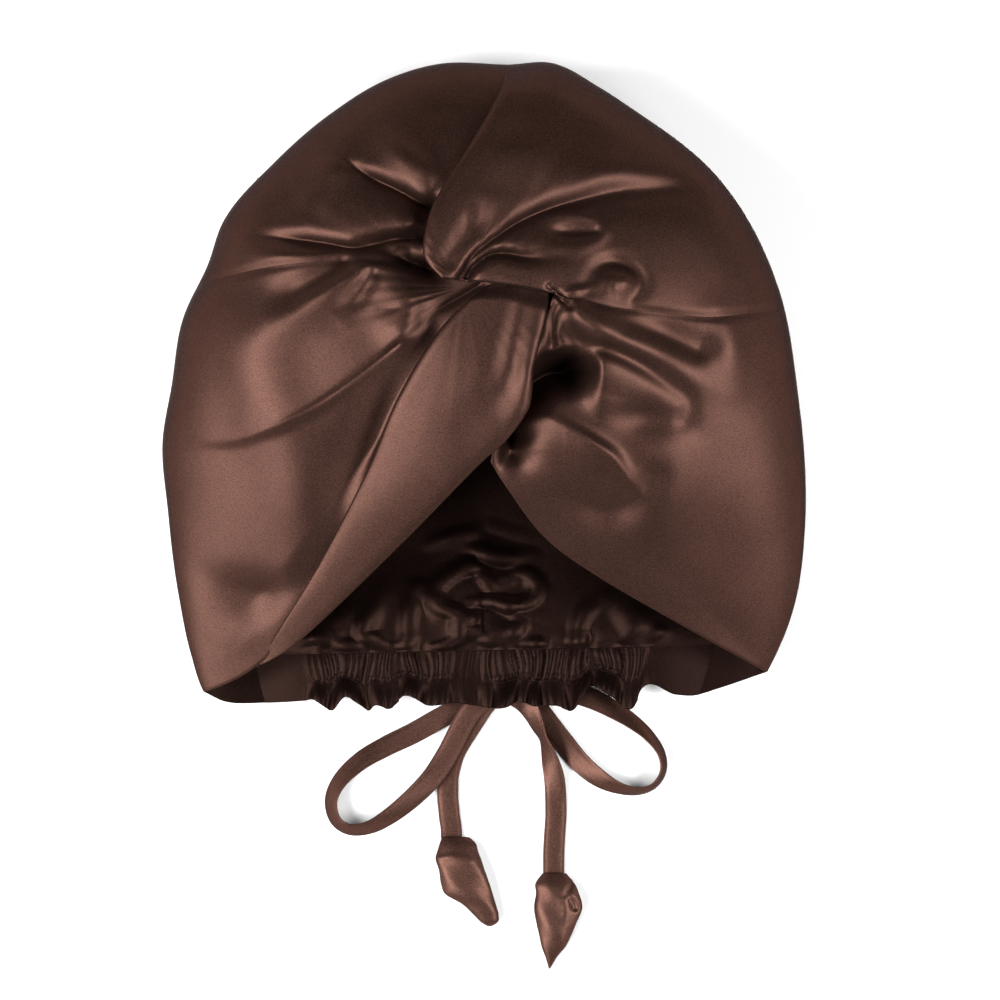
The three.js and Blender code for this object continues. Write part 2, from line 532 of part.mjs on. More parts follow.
function frontBandRight() {
  const plan = planBetween({
    low: rightHem,
    high: rightSeam,
    inner: backwards(underStripRight),
    outer: rimArc(RIM.frontRight),
  });
  const surface = (u, v) => {
    const p = plan(u, v);
    const hidden = (1 - smoothstep(v, 0.06, 0.24)) * (1 - smoothstep(u, 0.75, 1));
    const relief = rightRelief(p) * rimFade(p) * (1 - hidden);
    return raised(p, frontHeight(p) + relief + seamLift(v) * smoothstep(u, 0.7, 1) - layer * hidden);
  };
  const edges = { rimmed: [1], upright: [1] };
  const wall = clothWall(surface, RIM.frontRight.steps, rowsTowardsRim(ROWS.right), edges);
  return piece("front_band_right", wall);
}

// The strip comes out from under the tongue and runs down to the left, over the left cloth.
function twistBand() {
  const plan = planBetween({
    low: stripLeft,
    high: stripHem,
    inner: through([[0.0, 0.29], [0.1, 0.3], [0.2, 0.28]]),
    outer: through([[-0.705, -0.855], [-0.722, -0.873]]),
  });
  const surface = (u, v) => {
    const p = plan(u, v);
    const edges = curl(p.distanceTo(stripLeft(v))) + curl(p.distanceTo(stripHem(v)));
    const lift = layer + EDGE_CURL * (1 - v);
    const dive = STRIP_DIVE * (1 - smoothstep(v, 0, 0.1));
    return raised(p, frontHeight(p) + stripRelief(p) * (1 - v) + lift - edges * (1 - v) - dive);
  };
  return piece("twist_band", clothWall(surface, COLUMNS.strip, steps(ROWS.strip, (t) => t), {}));
}

// The outline's places between the corners. The nape seam runs between the first and last but one.
const rimTurns = Object.values(RIM).flatMap(({ from, to, steps: count }) =>
  steps(count, (t) => lerp(from, to, t)).slice(0, -1),
);
rimTurns.push(LEFT_CORNER);
const napeRight = rimPlace(rimTurns[1]);
const napeLeft = rimPlace(rimTurns.at(-2));

// Gathers and folds of the nape, as height above the smooth back. They die out at the seam of the band.
const casingShare = (p) => (p.x - CASING_OFFSET) / CASING_WIDTH;
const inCasing = (p) => 1 - smoothstep(Math.abs(casingShare(p)), 0.44, 0.52);
function napeRelief(p) {
  const fromSeam = p.y - lerp(napeLeft.y, napeRight.y, (p.x - napeLeft.x) / (napeRight.x - napeLeft.x));
  const begin = smoothstep(fromSeam, 0, GATHER_LENGTH / 3);
  const end = 1 - smoothstep(fromSeam, GATHER_LENGTH / 3, GATHER_LENGTH);
  const wave = 0.5 - 0.5 * Math.cos(Math.PI * CASING_PLEATS * casingShare(p));
  return begin * (GATHER_HEIGHT * wave * end * inCasing(p) + Math.max(0, backRelief(p)) * rimFade(p));
}
const napeHeight = (p) => backHeight(p) + napeRelief(p);

function backPanel() {
  const middle = place(0, 0.1);
  const rim = rimTurns.slice(1, -1).map(rimPlace);
  rim[0] = towards(rim[0], rim[1], SEAM_GAP);
  rim.push(towards(rim.pop(), rim.at(-2), SEAM_GAP));
  const seam = steps(ROWS.napeSeam, (t) => napeLeft.clone().lerp(napeRight, t)).slice(1, -1);
  const nape = seam.map((p) => p.setY(p.y + SEAM_GAP));
  const edge = [...rim, ...nape];
  const shares = [0, ...steps(ROWS.back, (t) => lerp(FLAT_SHARE, 1, Math.sin((t * Math.PI) / 2)))];
  const under = (p) => raised(p, napeHeight(p));
  const upper = (p, onRim) => {
    const step = 0.05;
    const rise = (dx, dy) => {
      const [before, after] = [-step, step].map((s) => new THREE.Vector2(p.x + dx * s, p.y + dy * s));
      return (napeHeight(after) - napeHeight(before)) / (2 * step);
    };
    const inwards = new THREE.Vector3(-rise(1, 0), -rise(0, 1), onRim ? 0 : 1).normalize();
    return under(p).addScaledVector(inwards, CLOTH);
  };
  const rings = shares.map((share) => edge.map((e) => middle.clone().lerp(e, share)));
  const undersides = rings.map((ring) => ring.map(under));
  const uppersides = rings.map((ring, k) => ring.map((p, i) => upper(p, k === rings.length - 1 && i < rim.length)));
  return piece("back_panel", solid(new LoftGeometry([...undersides, ...uppersides.reverse()])), SATIN_SHADE);
}

// Rows of the nape band: a few over each smooth end, and four for each pleat of the casing.
function napeRows() {
  const span = napeRight.x - napeLeft.x;
  const casing = [-0.5, 0.5].map((side) => (CASING_OFFSET + side * CASING_WIDTH - napeLeft.x) / span);
  const leftEnd = steps(ROWS.napeEnd, (t) => casing[0] * (1 - Math.cos((t * Math.PI) / 2)));
  const pleats = steps(ROWS.pleat * CASING_PLEATS, (t) => lerp(casing[0], casing[1], t));
  const rightEnd = steps(ROWS.napeEnd, (t) => lerp(casing[1], 1, Math.sin((t * Math.PI) / 2)));
  return [...leftEnd, ...pleats.slice(1), ...rightEnd.slice(1)];
}

function napeBand() {
  const [leftCorner, rightCorner] = [rimPlace(LEFT_CORNER), rimPlace(RIGHT_CORNER)];
  const frill = (t) => {
    const x = lerp(leftCorner.x, rightCorner.x, t);
    return place((2 * x) / BONNET_WIDTH, frillAt((2 * x) / BONNET_WIDTH));
  };
  const plan = planBetween({
    low: (t) => napeLeft.clone().lerp(napeRight, t),
    high: frill,
    inner: rimArc({ from: rimTurns.at(-2), to: LEFT_CORNER }),
    outer: rimArc({ from: rimTurns[1], to: RIGHT_CORNER }),
  });
  const surface = (u, v) => {
    const p = plan(u, v);
    const pleat = 0.5 - 0.5 * Math.cos(2 * Math.PI * CASING_PLEATS * casingShare(p));
    const wave = 0.5 - 0.5 * Math.cos(2 * Math.PI * FRILL_WAVES * casingShare(p));
    const puff = CASING_PLEAT_HEIGHT * pleat * Math.sin(Math.PI * clamp(u / STITCH_SHARE, 0, 1)) ** 2;
    const hang = FRILL_WAVE_HEIGHT * wave * smoothstep(u, STITCH_SHARE, 1);
    return raised(p, backHeight(p) + inCasing(p) * (puff + hang));
  };
  const wall = clothWall(surface, COLUMNS.nape, napeRows(), { inside: 1, rimmed: [0, 1] });
  return piece("nape_band", wall, SATIN_SHADE);
}

// A flat string along its route, rolled about its own line. Positive roll lifts the edge on the right of its way.
function tieString(name) {
  const route = STRING_ROUTES[name];
  const curve = new THREE.CatmullRomCurve3(route.map(([x, y, z]) => new THREE.Vector3(x, y, z)));
  const rollAt = (t) => {
    const at = t * (route.length - 1);
    const before = Math.min(Math.floor(at), route.length - 2);
    return degToRad(lerp(route[before][3], route[before + 1][3], smoothstep(at - before, 0, 1)));
  };
  const section = (t) => {
    const tangent = curve.getTangent(t).setZ(0).normalize();
    const level = new THREE.Vector3(tangent.y, -tangent.x, 0);
    const upright = new THREE.Vector3(0, 0, 1);
    const roll = rollAt(t);
    const side = level.clone().multiplyScalar(Math.cos(roll)).addScaledVector(upright, Math.sin(roll));
    const face = upright.multiplyScalar(Math.cos(roll)).addScaledVector(level, -Math.sin(roll));
    return STRING_SECTION.map(([across, up]) =>
      curve.getPoint(t).addScaledVector(side, (across * STRING_WIDTH) / 2)
        .addScaledVector(face, (up * STRING_THICKNESS) / 2),
    );
  };
  const sections = steps(Math.round(route.length * STRING_STEPS_PER_POINT), section);
  return piece(name, solid(new LoftGeometry(sections, { capStart: true, capEnd: true })));
}

// A leaf-shaped tip: flattened oval sections that lie on the surface, starting past the end of its string.
function tieTip(name, table, stringName) {
  const [x, y] = STRING_ROUTES[stringName].at(-1);
  const sections = table.map(({ along, left, right, high }) => {
    const middle = ((left + right) / 2) * TIP_WIDTH;
    const half = ((right - left) / 2) * TIP_WIDTH;
    const height = high * TIP_THICKNESS;
    return steps(TIP_SIDES, (t) => {
      const angle = 2 * Math.PI * t;
      return new THREE.Vector3(
        x + middle + half * Math.cos(angle),
        y - SEAM_GAP - along * TIP_LENGTH,
        FLOOR_GAP + (height / 2) * (1 + Math.sin(angle)),
      );
    }).slice(0, -1);
  });
  return piece(name, solid(new LoftGeometry(sections, { capStart: true, capEnd: true })));
}

function tieKnot() {
  const radius = KNOT_WIDTH / 2;
  const profile = [[0, 0], [radius - KNOT_BEVEL, 0], [radius, KNOT_BEVEL], [radius, KNOT_HEIGHT - KNOT_BEVEL],
    [radius - KNOT_BEVEL, KNOT_HEIGHT], [0, KNOT_HEIGHT]];
  const points = profile.map(([r, height]) => new THREE.Vector2(r, height + FLOOR_GAP));
  return piece("tie_knot", new THREE.LatheGeometry(points, KNOT_SIDES).rotateX(Math.PI / 2));
}

// The bow lies under the casing and beyond it, all in one group around its knot.
function bow() {
  const group = new THREE.Group();
  const at = place(BOW_PLACE.across, BOW_PLACE.along);
  group.position.set(at.x, at.y, 0);
  group.add(
    tieKnot(),
    ...Object.keys(STRING_ROUTES).map(tieString),
    tieTip("tie_tip_left", LEFT_TIP, "tie_tail_left"),
    tieTip("tie_tip_right", RIGHT_TIP, "tie_tail_right"),
  );
  return group;
}

const bonnet = new THREE.Group();
bonnet.add(
  backPanel(),
  crownPanelLeft(),
  frontBandLeft(),
  crownPanelRight(),
  frontBandRight(),
  twistBand(),
  napeBand(),
  bow(),
);

export default bonnet;
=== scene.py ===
import math
from typing import NamedTuple

import bpy
import numpy as np
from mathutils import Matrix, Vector


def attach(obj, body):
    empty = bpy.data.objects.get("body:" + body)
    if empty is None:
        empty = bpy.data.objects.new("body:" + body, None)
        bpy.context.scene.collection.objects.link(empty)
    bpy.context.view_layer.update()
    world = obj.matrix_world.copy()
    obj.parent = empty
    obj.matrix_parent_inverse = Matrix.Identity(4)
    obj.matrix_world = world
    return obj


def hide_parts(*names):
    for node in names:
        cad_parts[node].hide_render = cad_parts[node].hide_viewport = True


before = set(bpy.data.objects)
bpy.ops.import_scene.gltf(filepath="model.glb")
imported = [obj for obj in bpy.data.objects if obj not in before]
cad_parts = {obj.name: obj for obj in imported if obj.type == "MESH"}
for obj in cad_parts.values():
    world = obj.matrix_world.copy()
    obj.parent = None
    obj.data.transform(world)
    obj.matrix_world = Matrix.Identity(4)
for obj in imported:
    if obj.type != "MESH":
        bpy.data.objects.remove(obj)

bl_info = {
    "name": "Satin sleep bonnet",
    "version": (1, 0, 0),
    "blender": (4, 5, 0),
    "location": "3D View > Sidebar > Bonnet",
    "description": "Dresses the frame of a sleep bonnet in gathered satin and lays it under studio light",
    "category": "Add Mesh",
}

# Sizes of the bonnet and of its strings in metres, as in the frame.
WIDTH = 0.296
LENGTH = 0.299
DEPTH = 0.098
CLOTH = 0.0015
LAYER = 0.0021
FLOOR_GAP = 0.0002
NAPE_LIFT = 0.0079
CASING_WIDTH = 0.155
CASING_OFFSET = -0.003
FLAT_JOIN = -0.0087
FLAT_JOIN_WIDTH = 0.016
CENTRE_SEAM = -0.003
NAPE_LAP = 0.0015
STRING_WIDTH = 0.010
STRING_THICKNESS = 0.0012
KNOT_WIDTH = 0.014
KNOT_HEIGHT = 0.0074
TIP_LENGTH = 0.0445
TIP_WIDTH = 0.0225
TIP_THICKNESS = 0.009
MM = 0.001
# The neck of a tip reaches back over the end of its string, so this gap is below zero.
TIP_GAP = -0.0006

# The camera looks straight down, and this many metres of the rest height fill the picture.
VIEW_WIDTH = 0.460
VIEW_CENTRE = (0.0069, -0.0529)
VIEW_HEIGHT = 0.036


def table(columns, rows):
    """Rows of numbers with named columns."""
    return np.array(rows, dtype=[(name, float) for name in columns.split()])


# Outline seen from above: turn in degrees from +X, reach and height of the side seam as shares.
OUTLINE = table("turn reach edge", [
    (-45, 1.254, 0.12), (-36, 1.19, 0.2), (-24, 1.092, 0.29), (-12, 1.016, 0.34), (0, 0.97, 0.36),
    (18, 0.96, 0.37), (42, 0.966, 0.36), (60, 0.964, 0.35), (69, 0.985, 0.34), (78, 1.014, 0.34),
    (86, 0.99, 0.34), (98, 1.0, 0.34), (108, 0.99, 0.34), (120, 0.964, 0.35), (134, 0.948, 0.36),
    (148, 0.957, 0.37), (157, 0.938, 0.37), (168, 0.962, 0.36), (180, 0.975, 0.35), (190, 1.02, 0.33),
    (202, 1.066, 0.28), (214, 1.157, 0.21), (222, 1.242, 0.15), (227, 1.297, 0.12), (240, 1.36, 0.11),
    (270, 1.34, 0.11), (300, 1.3, 0.11), (315, 1.254, 0.12),
])
# Height of the front along the middle line, as a share of the depth.
CREST = table("along crest", [
    (-1.0, 0.27), (-0.6, 0.54), (-0.25, 0.79), (0.0, 0.92), (0.3, 0.985), (0.6, 0.96), (1.0, 0.86),
])
FRONT_FULLNESS = 2.6
FRONT_ROUNDNESS = 0.52
FLAT_SHARE = 0.62
# Where the lift of the nape fades out along the bonnet and across it.
NAPE_SLOPE = (-0.8, -0.48)
NAPE_SIDES = (0.5, 0.85)
# Where the front's folds begin to flatten and are gone, as shares of the way from the middle to the outline.
RIM_FADE = (0.72, 0.99)
CORNERS = {"right": -45, "seam_right": 14, "lobe": 86, "seam_left": 161, "left": 227}

# Lower edge of the frill, in shares of the half width and half length.
FRILL_EDGE = table("across along", [
    (-0.8845, -0.9486), (-0.82, -0.979), (-0.7, -0.983), (-0.565, -0.975), (-0.54, -0.972),
    (-0.478, -1.005), (-0.441, -0.963), (-0.4, -0.985), (-0.365, -1.006), (-0.345, -0.99), (-0.3, -1.0),
    (-0.252, -0.96), (-0.18, -0.99), (-0.1, -0.982), (-0.03, -0.99), (0.056, -0.998), (0.1, -0.978),
    (0.16, -0.992), (0.22, -0.99), (0.28, -1.003), (0.323, -0.932), (0.388, -0.957), (0.466, -0.996),
    (0.491, -0.938), (0.6, -0.957), (0.658, -0.96), (0.73, -0.94), (0.8867, -0.8867),
])


def cubic(rows, key, name):
    """Smooth lookup of one column of a table by another."""
    x, y = rows[key], rows[name]
    secant = np.diff(y) / np.diff(x)
    slope = np.concatenate([secant[:1], (secant[:-1] + secant[1:]) / 2, secant[-1:]])

    def at(q):
        q = np.clip(q, x[0], x[-1])
        i = np.clip(np.searchsorted(x, q, side="right") - 1, 0, len(x) - 2)
        step = x[i + 1] - x[i]
        t = (q - x[i]) / step
        start = (1 + 2 * t) * (1 - t) ** 2 * y[i] + t * (1 - t) ** 2 * step * slope[i]
        return start + t * t * (3 - 2 * t) * y[i + 1] + t * t * (t - 1) * step * slope[i + 1]

    return at


reach_at = cubic(OUTLINE, "turn", "reach")
edge_at = cubic(OUTLINE, "turn", "edge")
crest_at = cubic(CREST, "along", "crest")
frill_at = cubic(FRILL_EDGE, "across", "along")


def lerp(a, b, t):
    return a + (b - a) * t


def smooth(x, low, high):
    """0 at low, 1 at high, with soft ends."""
    t = np.clip((x - low) / (high - low), 0, 1)
    return t * t * (3 - 2 * t)


def bell(distance, width, power=2.0):
    return np.exp(-((np.abs(distance) / width) ** power))


def place(across, along):
    """Points on the plan, from shares of half the width and half the length."""
    return np.stack([np.asarray(across) * WIDTH / 2, np.asarray(along) * LENGTH / 2], -1)


def shares_of(p):
    return p[..., 0] * 2 / WIDTH, p[..., 1] * 2 / LENGTH


def turn_of(p):
    across, along = shares_of(p)
    turn = np.degrees(np.arctan2(along, across))
    return np.where(turn < CORNERS["right"], turn + 360, turn)


def rim_place(turn):
    reach = reach_at(turn)
    return place(reach * np.cos(np.radians(turn)), reach * np.sin(np.radians(turn)))


def rim_share(p):
    """0 in the middle of the bonnet, 1 on its outline."""
    across, along = shares_of(p)
    return np.minimum(1, np.hypot(across, along) / reach_at(turn_of(p)))


def front_height(p):
    edge = edge_at(turn_of(p)) * DEPTH
    crest = crest_at(shares_of(p)[1]) * DEPTH
    return edge + (crest - edge) * (1 - rim_share(p) ** FRONT_FULLNESS) ** FRONT_ROUNDNESS


def back_height(p):
    climb = np.clip((rim_share(p) - FLAT_SHARE) / (1 - FLAT_SHARE), 0, 1)
    rim = edge_at(turn_of(p)) * DEPTH * (1 - np.sqrt(1 - climb * climb))
    across, along = shares_of(p)
    nape = 1 - smooth(along, *NAPE_SLOPE)
    beside = 1 - smooth(np.abs(across), *NAPE_SIDES)
    return np.maximum(rim, NAPE_LIFT * nape * beside)


# Points on each span of a smooth curve.
SPAN_STEPS = 40


def spline(points):
    """A smooth curve through points, as a function of the share of its length."""
    points = np.asarray(points, float)
    ends = np.concatenate([points[:1], points, points[-1:]])
    fine = []
    for i in range(len(points) - 1):
        a, b, c, d = ends[i:i + 4]
        t = np.linspace(0, 1, SPAN_STEPS, endpoint=False)[:, None]
        m0, m1 = (c - a) / 2, (d - b) / 2
        curve = (2 * t**3 - 3 * t**2 + 1) * b + (t**3 - 2 * t**2 + t) * m0
        fine.append(curve + (3 * t**2 - 2 * t**3) * c + (t**3 - t**2) * m1)
    fine = np.concatenate([*fine, points[-1:]])
    length = np.concatenate([[0], np.cumsum(np.linalg.norm(np.diff(fine, axis=0), axis=1))])
    share = length / length[-1]
    return lambda t: np.stack([np.interp(t, share, fine[:, k]) for k in range(fine.shape[1])], -1)


def through(shares, end=None):
    """A smooth curve through places given as shares. It may end at a turn of the outline."""
    points = [place(*s) for s in shares]
    return spline(points if end is None else [*points, rim_place(CORNERS[end])])


def rim_arc(start, end):
    return lambda t: rim_place(lerp(CORNERS[start], CORNERS[end], t))


def plan_between(low, high, inner, outer):
    """The plan of a cloth between four curves."""
    corners = [inner(0.0), inner(1.0), outer(0.0), outer(1.0)]

    def plan(u, v):
        a, b = np.asarray(u)[..., None], np.asarray(v)[..., None]
        sides = low(v) * (1 - a) + high(v) * a + inner(u) * (1 - b) + outer(u) * b
        near = corners[0] * (1 - a) * (1 - b) + corners[1] * a * (1 - b)
        return sides - near - corners[2] * (1 - a) * b - corners[3] * a * b

    return plan


def to_line(line, p):
    """Distance from a line, the share of it at the nearest place, and the side: 1 left, -1 right."""
    shape = p.shape[:-1]
    q = p.reshape(-1, 1, 2)
    a, step = line[:-1], np.diff(line, axis=0)
    along = np.clip(((q - a) * step).sum(-1) / (step**2).sum(-1), 0, 1)
    away = q - (a + along[..., None] * step)
    distance = np.linalg.norm(away, axis=-1)
    best = distance.argmin(1)
    pick = np.arange(len(best))
    share = (best + along[pick, best]) / len(step)
    cross = step[best, 0] * away[pick, best, 1] - step[best, 1] * away[pick, best, 0]
    nearest = distance[pick, best]
    side = cross / (np.linalg.norm(step[best], axis=1) * nearest + 1e-9)
    return nearest.reshape(shape), share.reshape(shape), side.reshape(shape)


class Fold(NamedTuple):
    """A ridge or valley along a path on the plan, in millimetres from the bonnet's middle."""

    path: list
    left: float
    right: float
    spread: float
    heights: tuple
    power: float = 2.0


# Each fold's path, its starting widths on the left and on the right of it, and how many times wider it ends.
# Then its heights at the start, half way and at the end, where a valley is negative.
# A power below 2 makes a crease.
LEFT_FOLDS = [
    Fold([(12, 140), (3, 126), (-9, 106), (-18, 87), (-25, 67)], 3, 7, 1, (-1.5, -4, -5)),
    Fold(
        [(-70, 107), (-63, 101), (-51, 93), (-39, 87), (-28, 81), (-21, 80)],
        1.4, 1.4, 1, (-0.3, -2.5, -2.5), 1.4,
    ),
    Fold(
        [(-116, 69), (-104, 67), (-85, 65), (-71, 63), (-60, 61), (-52, 62), (-41, 65), (-26, 66)],
        1.3, 1.3, 1, (-0.3, -2, -2.5), 1.4,
    ),
    Fold([(-39, 17), (-53, 6), (-67, -4), (-80, -12), (-97, -20)], 1.3, 1.3, 1, (-1.5, -1.5, -0.2), 1.4),
    Fold([(-31, 132), (-18, 122), (-7, 108)], 6, 4, 1, (-0.5, -4.5, -6)),
    Fold([(-55, 120), (-34, 101), (-17, 89)], 7, 8, 1, (1, 4.5, 3.5)),
    Fold(
        [(-71, 108), (-63, 101), (-51, 93), (-39, 87), (-28, 81), (-21, 80)],
        3.5, 8, 1, (-1.5, -5, -6), 1.8,
    ),
    Fold([(-64, 107), (-72, 90), (-80, 74)], 6, 9, 1, (1, 2, 1)),
    Fold([(-86, 99), (-71, 100), (-57, 95)], 6, 7, 1, (2, 5, 2)),
    Fold([(-92, 86), (-106, 80)], 8, 8, 1, (-2.5, -3.5, -2)),
    Fold(
        [(-121, 72), (-115, 69), (-104, 68), (-85, 65),
         (-71, 63), (-60, 61), (-52, 63), (-41, 65), (-26, 66)],
        3.6, 7, 1, (-1, -4.5, -7), 1.8,
    ),
    Fold([(-120, 60), (-104, 59), (-85, 58), (-64, 56)], 5, 5, 1, (1, 3, 1.5)),
    Fold([(-43, 58), (-25, 52)], 7.5, 7, 1, (-6, -13, -15), 1.5),
    Fold([(-52, 53), (-44, 52), (-34, 51), (-26, 46)], 2.2, 3.5, 1, (1, 2, 1)),
    Fold([(-64, 53), (-76, 46), (-92, 37), (-103, 30)], 5, 6, 1.4, (-5, -4.5, -0.5)),
    Fold([(-58, 51), (-71, 43), (-90, 32), (-113, 15)], 7, 7, 2, (3, 4, 1.5)),
    Fold([(-51, 49), (-57, 39), (-67, 28)], 4.5, 4.5, 1.5, (-3, -3, -0.5)),
    Fold([(-40, 45), (-34, 34), (-37, 24)], 7, 9, 1, (2, 3.5, 4)),
    Fold(
        [(-32, 21), (-39, 17), (-53, 6), (-67, -4), (-80, -12), (-97, -20), (-113, -25), (-131, -26)],
        3.2, 10, 1, (1.5, 2.8, 2.6), 1.8,
    ),
    Fold([(-116, 44), (-104, 16), (-95, -16), (-87, -48), (-80, -80)], 20, 20, 1, (1.5, 3.6, 4)),
    Fold([(-71, -100), (-94, -99), (-119, -94), (-136, -89)], 17, 9, 1, (-3, -5.5, -4)),
    Fold([(-115, -117), (-105, -126)], 15, 15, 1, (1.5, 2.5, 2)),
    Fold([(-23, 21), (-41, -8), (-53, -35), (-62, -56), (-74, -77)], 4, 14, 1, (-3, -6, -1)),
    Fold([(-2, 44), (-12, 38), (-28, 29)], 1.8, 1.8, 1.5, (-2.5, -2.5, -0.5), 1.7),
]
RIGHT_FOLDS = [
    Fold(
        [(-11, 47), (-5, 57), (2, 63), (12, 70), (21, 75), (34, 80), (48, 84), (62, 87)],
        1.4, 1.4, 1.6, (-2.5, -2.5, -0.3), 1.4,
    ),
    Fold([(-8, 47), (-5, 52), (2, 57), (9, 58), (21, 56)], 1.3, 1.3, 1, (-2.5, -2.5, -0.3), 1.4),
    Fold([(3, 84), (-9, 64), (-14, 55)], 6, 7, 1, (0, -3.5, -3)),
    Fold([(16, 126), (11, 104), (8, 85)], 18, 12, 1, (1, 4, 2)),
    Fold(
        [(-11, 47), (-5, 57), (2, 63), (12, 70), (21, 75),
         (34, 80), (48, 84), (62, 87), (76, 88), (95, 90)],
        3, 4.5, 1.9, (-2.5, -3.5, -5.5), 1.8,
    ),
    Fold([(25, 84), (53, 96), (80, 101), (100, 100)], 11, 9, 1, (0.3, 3, 2)),
    Fold([(100, 99), (107, 87), (104, 71)], 5, 5, 1, (2, 3, 0)),
    Fold([(25, 67), (37, 68), (49, 69)], 3.5, 3.5, 1, (0, -3, -2)),
    Fold([(9, 68), (28, 75), (44, 75), (53, 68), (44, 61), (28, 58)], 3.6, 3.6, 1, (0.6, 1.6, 0.6)),
    Fold([(-8, 47), (-5, 52), (2, 57), (9, 58), (21, 56), (35, 57)], 2.6, 2.6, 1.4, (-3, -4.5, -1), 1.8),
    Fold([(29, 43), (34, 38), (38, 34)], 1.6, 1.6, 1, (-1.5, -2.5, -1.5)),
    Fold([(35, 39), (41, 41), (49, 43)], 2, 2, 1, (1, 1.5, 0.5)),
    Fold([(46, 43), (51, 51), (58, 54), (67, 51), (70, 44), (66, 38)], 4, 4, 1, (-1, -3.5, -1.5)),
    Fold([(56, 44), (61, 45)], 6, 6, 1, (2.5, 3, 2.5)),
    Fold([(34, 36), (31, 30), (30, 23), (31, 17)], 2.5, 2.5, 1, (-2, -3, -2)),
    Fold(
        [(37, 32), (38, 23), (44, 18), (58, 14), (71, 8), (83, 0), (92, -8), (91, -17)],
        3.6, 3.6, 1.3, (-2, -3.4, -1.5),
    ),
    Fold([(41, 30), (53, 24), (71, 16), (90, 6), (108, -3), (126, -9)], 8, 6.5, 1, (6.5, 2.6, 0)),
    Fold([(106, 32), (113, 18), (115, -1)], 8, 8, 1, (1, 3, 1)),
    Fold([(66, 27), (80, 23), (96, 16)], 7, 6, 1, (-2, -3.4, -3)),
    Fold([(49, 17), (53, 6), (52, -6)], 15, 5, 1, (3, 6, 3)),
    Fold([(19, -1), (31, 5), (54, 6)], 8.5, 9.5, 1, (-24, -26, -1), 1.5),
    Fold([(24, 11), (33, 15), (44, 16)], 3, 5, 1, (2, 3, 1)),
    Fold([(51, -13), (71, -16), (94, -19)], 8, 8, 1, (-1, -4, -1)),
    Fold([(25, -15), (36, -20), (48, -27), (58, -34), (65, -44), (71, -51)], 4, 13, 1, (2, 5.5, 1.5), 1.8),
    Fold([(76, -43), (69, -53), (55, -56), (40, -53)], 9, 6, 1, (-2.5, -3.6, -1)),
    Fold([(11, -16), (12, -31)], 8, 7, 1, (-14, -19, -12), 1.5),
    Fold([(78, -7), (82, -30), (77, -62), (68, -83)], 16, 18, 1, (1.5, 4, 2)),
]
STRIP_FOLDS = [
    Fold([(17, 37), (13, 18), (9, 0), (-7, -21)], 5, 5, 1.6, (-1.5, -3, -0.5)),
    Fold([(22, 18), (19, 2), (15, -12)], 4, 6, 1, (1, 2.5, 1)),
]
BACK_FOLDS = [
    Fold([(-80, -117), (-67, -122), (-55, -123)], 3, 3, 1, (3, 4, 3)),
    Fold([(-48, -97), (-57, -112), (-54, -118), (-46, -124)], 5, 4, 0.6, (1, 4.5, 4)),
    Fold([(-31, -93), (-35, -106), (-36, -120)], 2.6, 2.6, 1, (1.5, 4, 3)),
    Fold([(-31, -93), (-25, -101), (-21, -109)], 2.4, 2.4, 1, (2, 3, 1)),
    Fold(
        [(-6, -84), (-16, -89), (-22, -95), (-20, -102), (-13, -107), (-12, -117), (-18, -123)],
        2.2, 3, 1, (3, 5, 5),
    ),
    Fold([(-41, -126), (-25, -125), (-14, -121)], 3, 3, 1, (2, 4, 3)),
    Fold([(-5, -76), (7, -80), (21, -78)], 3, 2.5, 1, (3, 3, 1)),
    Fold([(-6, -83), (1, -92), (7, -100)], 2.2, 2, 1, (3, 3.5, 2)),
    Fold([(9, -91), (18, -87), (24, -93), (21, -100), (11, -102)], 2.4, 2.4, 1, (2, 4.5, 4)),
    Fold([(-7, -101), (2, -100), (12, -102)], 2.2, 2.2, 1, (2, 3, 2)),
    Fold([(9, -104), (16, -109), (12, -117), (11, -124)], 2.6, 2.4, 1, (2, 4.5, 4)),
    Fold([(-11, -104), (-6, -110), (-3, -117), (5, -120)], 2.2, 2.2, 1, (3, 3.5, 2)),
    Fold([(16, -122), (25, -121), (32, -129)], 2.6, 2.6, 1, (2, 4.5, 3)),
    Fold([(55, -98), (46, -106), (43, -117), (46, -126)], 3.5, 3, 0.8, (1.5, 5, 5)),
    Fold([(60, -99), (69, -109), (71, -120)], 9, 9, 1, (2, 4.5, 3)),
    Fold([(81, -114), (71, -122), (68, -130)], 2.5, 2.5, 1, (1.5, 4, 3)),
    Fold([(-25, -74), (-14, -70), (-6, -68)], 3, 3, 1, (1, 2.5, 2)),
    Fold([(-60, -99), (-64, -106), (-71, -114)], 6, 6, 1, (1, 3, 2)),
]
TIP_FOLDS = [
    Fold([(40, -239), (42, -243)], 1.3, 1.3, 1, (-2, -3, -3)),
    Fold([(37, -239), (38, -251)], 1.6, 1.8, 1, (0.6, 1, 0.4)),
    Fold([(41, -230), (38, -237)], 1.0, 1.3, 1, (-0.8, -1.4, -1)),
    Fold([(-22, -220), (-15, -219), (-7, -221)], 1.6, 1.6, 1, (0.8, 0.6, 0.4)),
    Fold([(-21, -228), (-19, -237)], 1.3, 1.3, 1, (-0.4, -0.7, -0.3)),
]


# Points on each stretch of a fold's path, and how many widths away the fold is felt.
FOLD_STEPS = 8
FOLD_REACH = 3


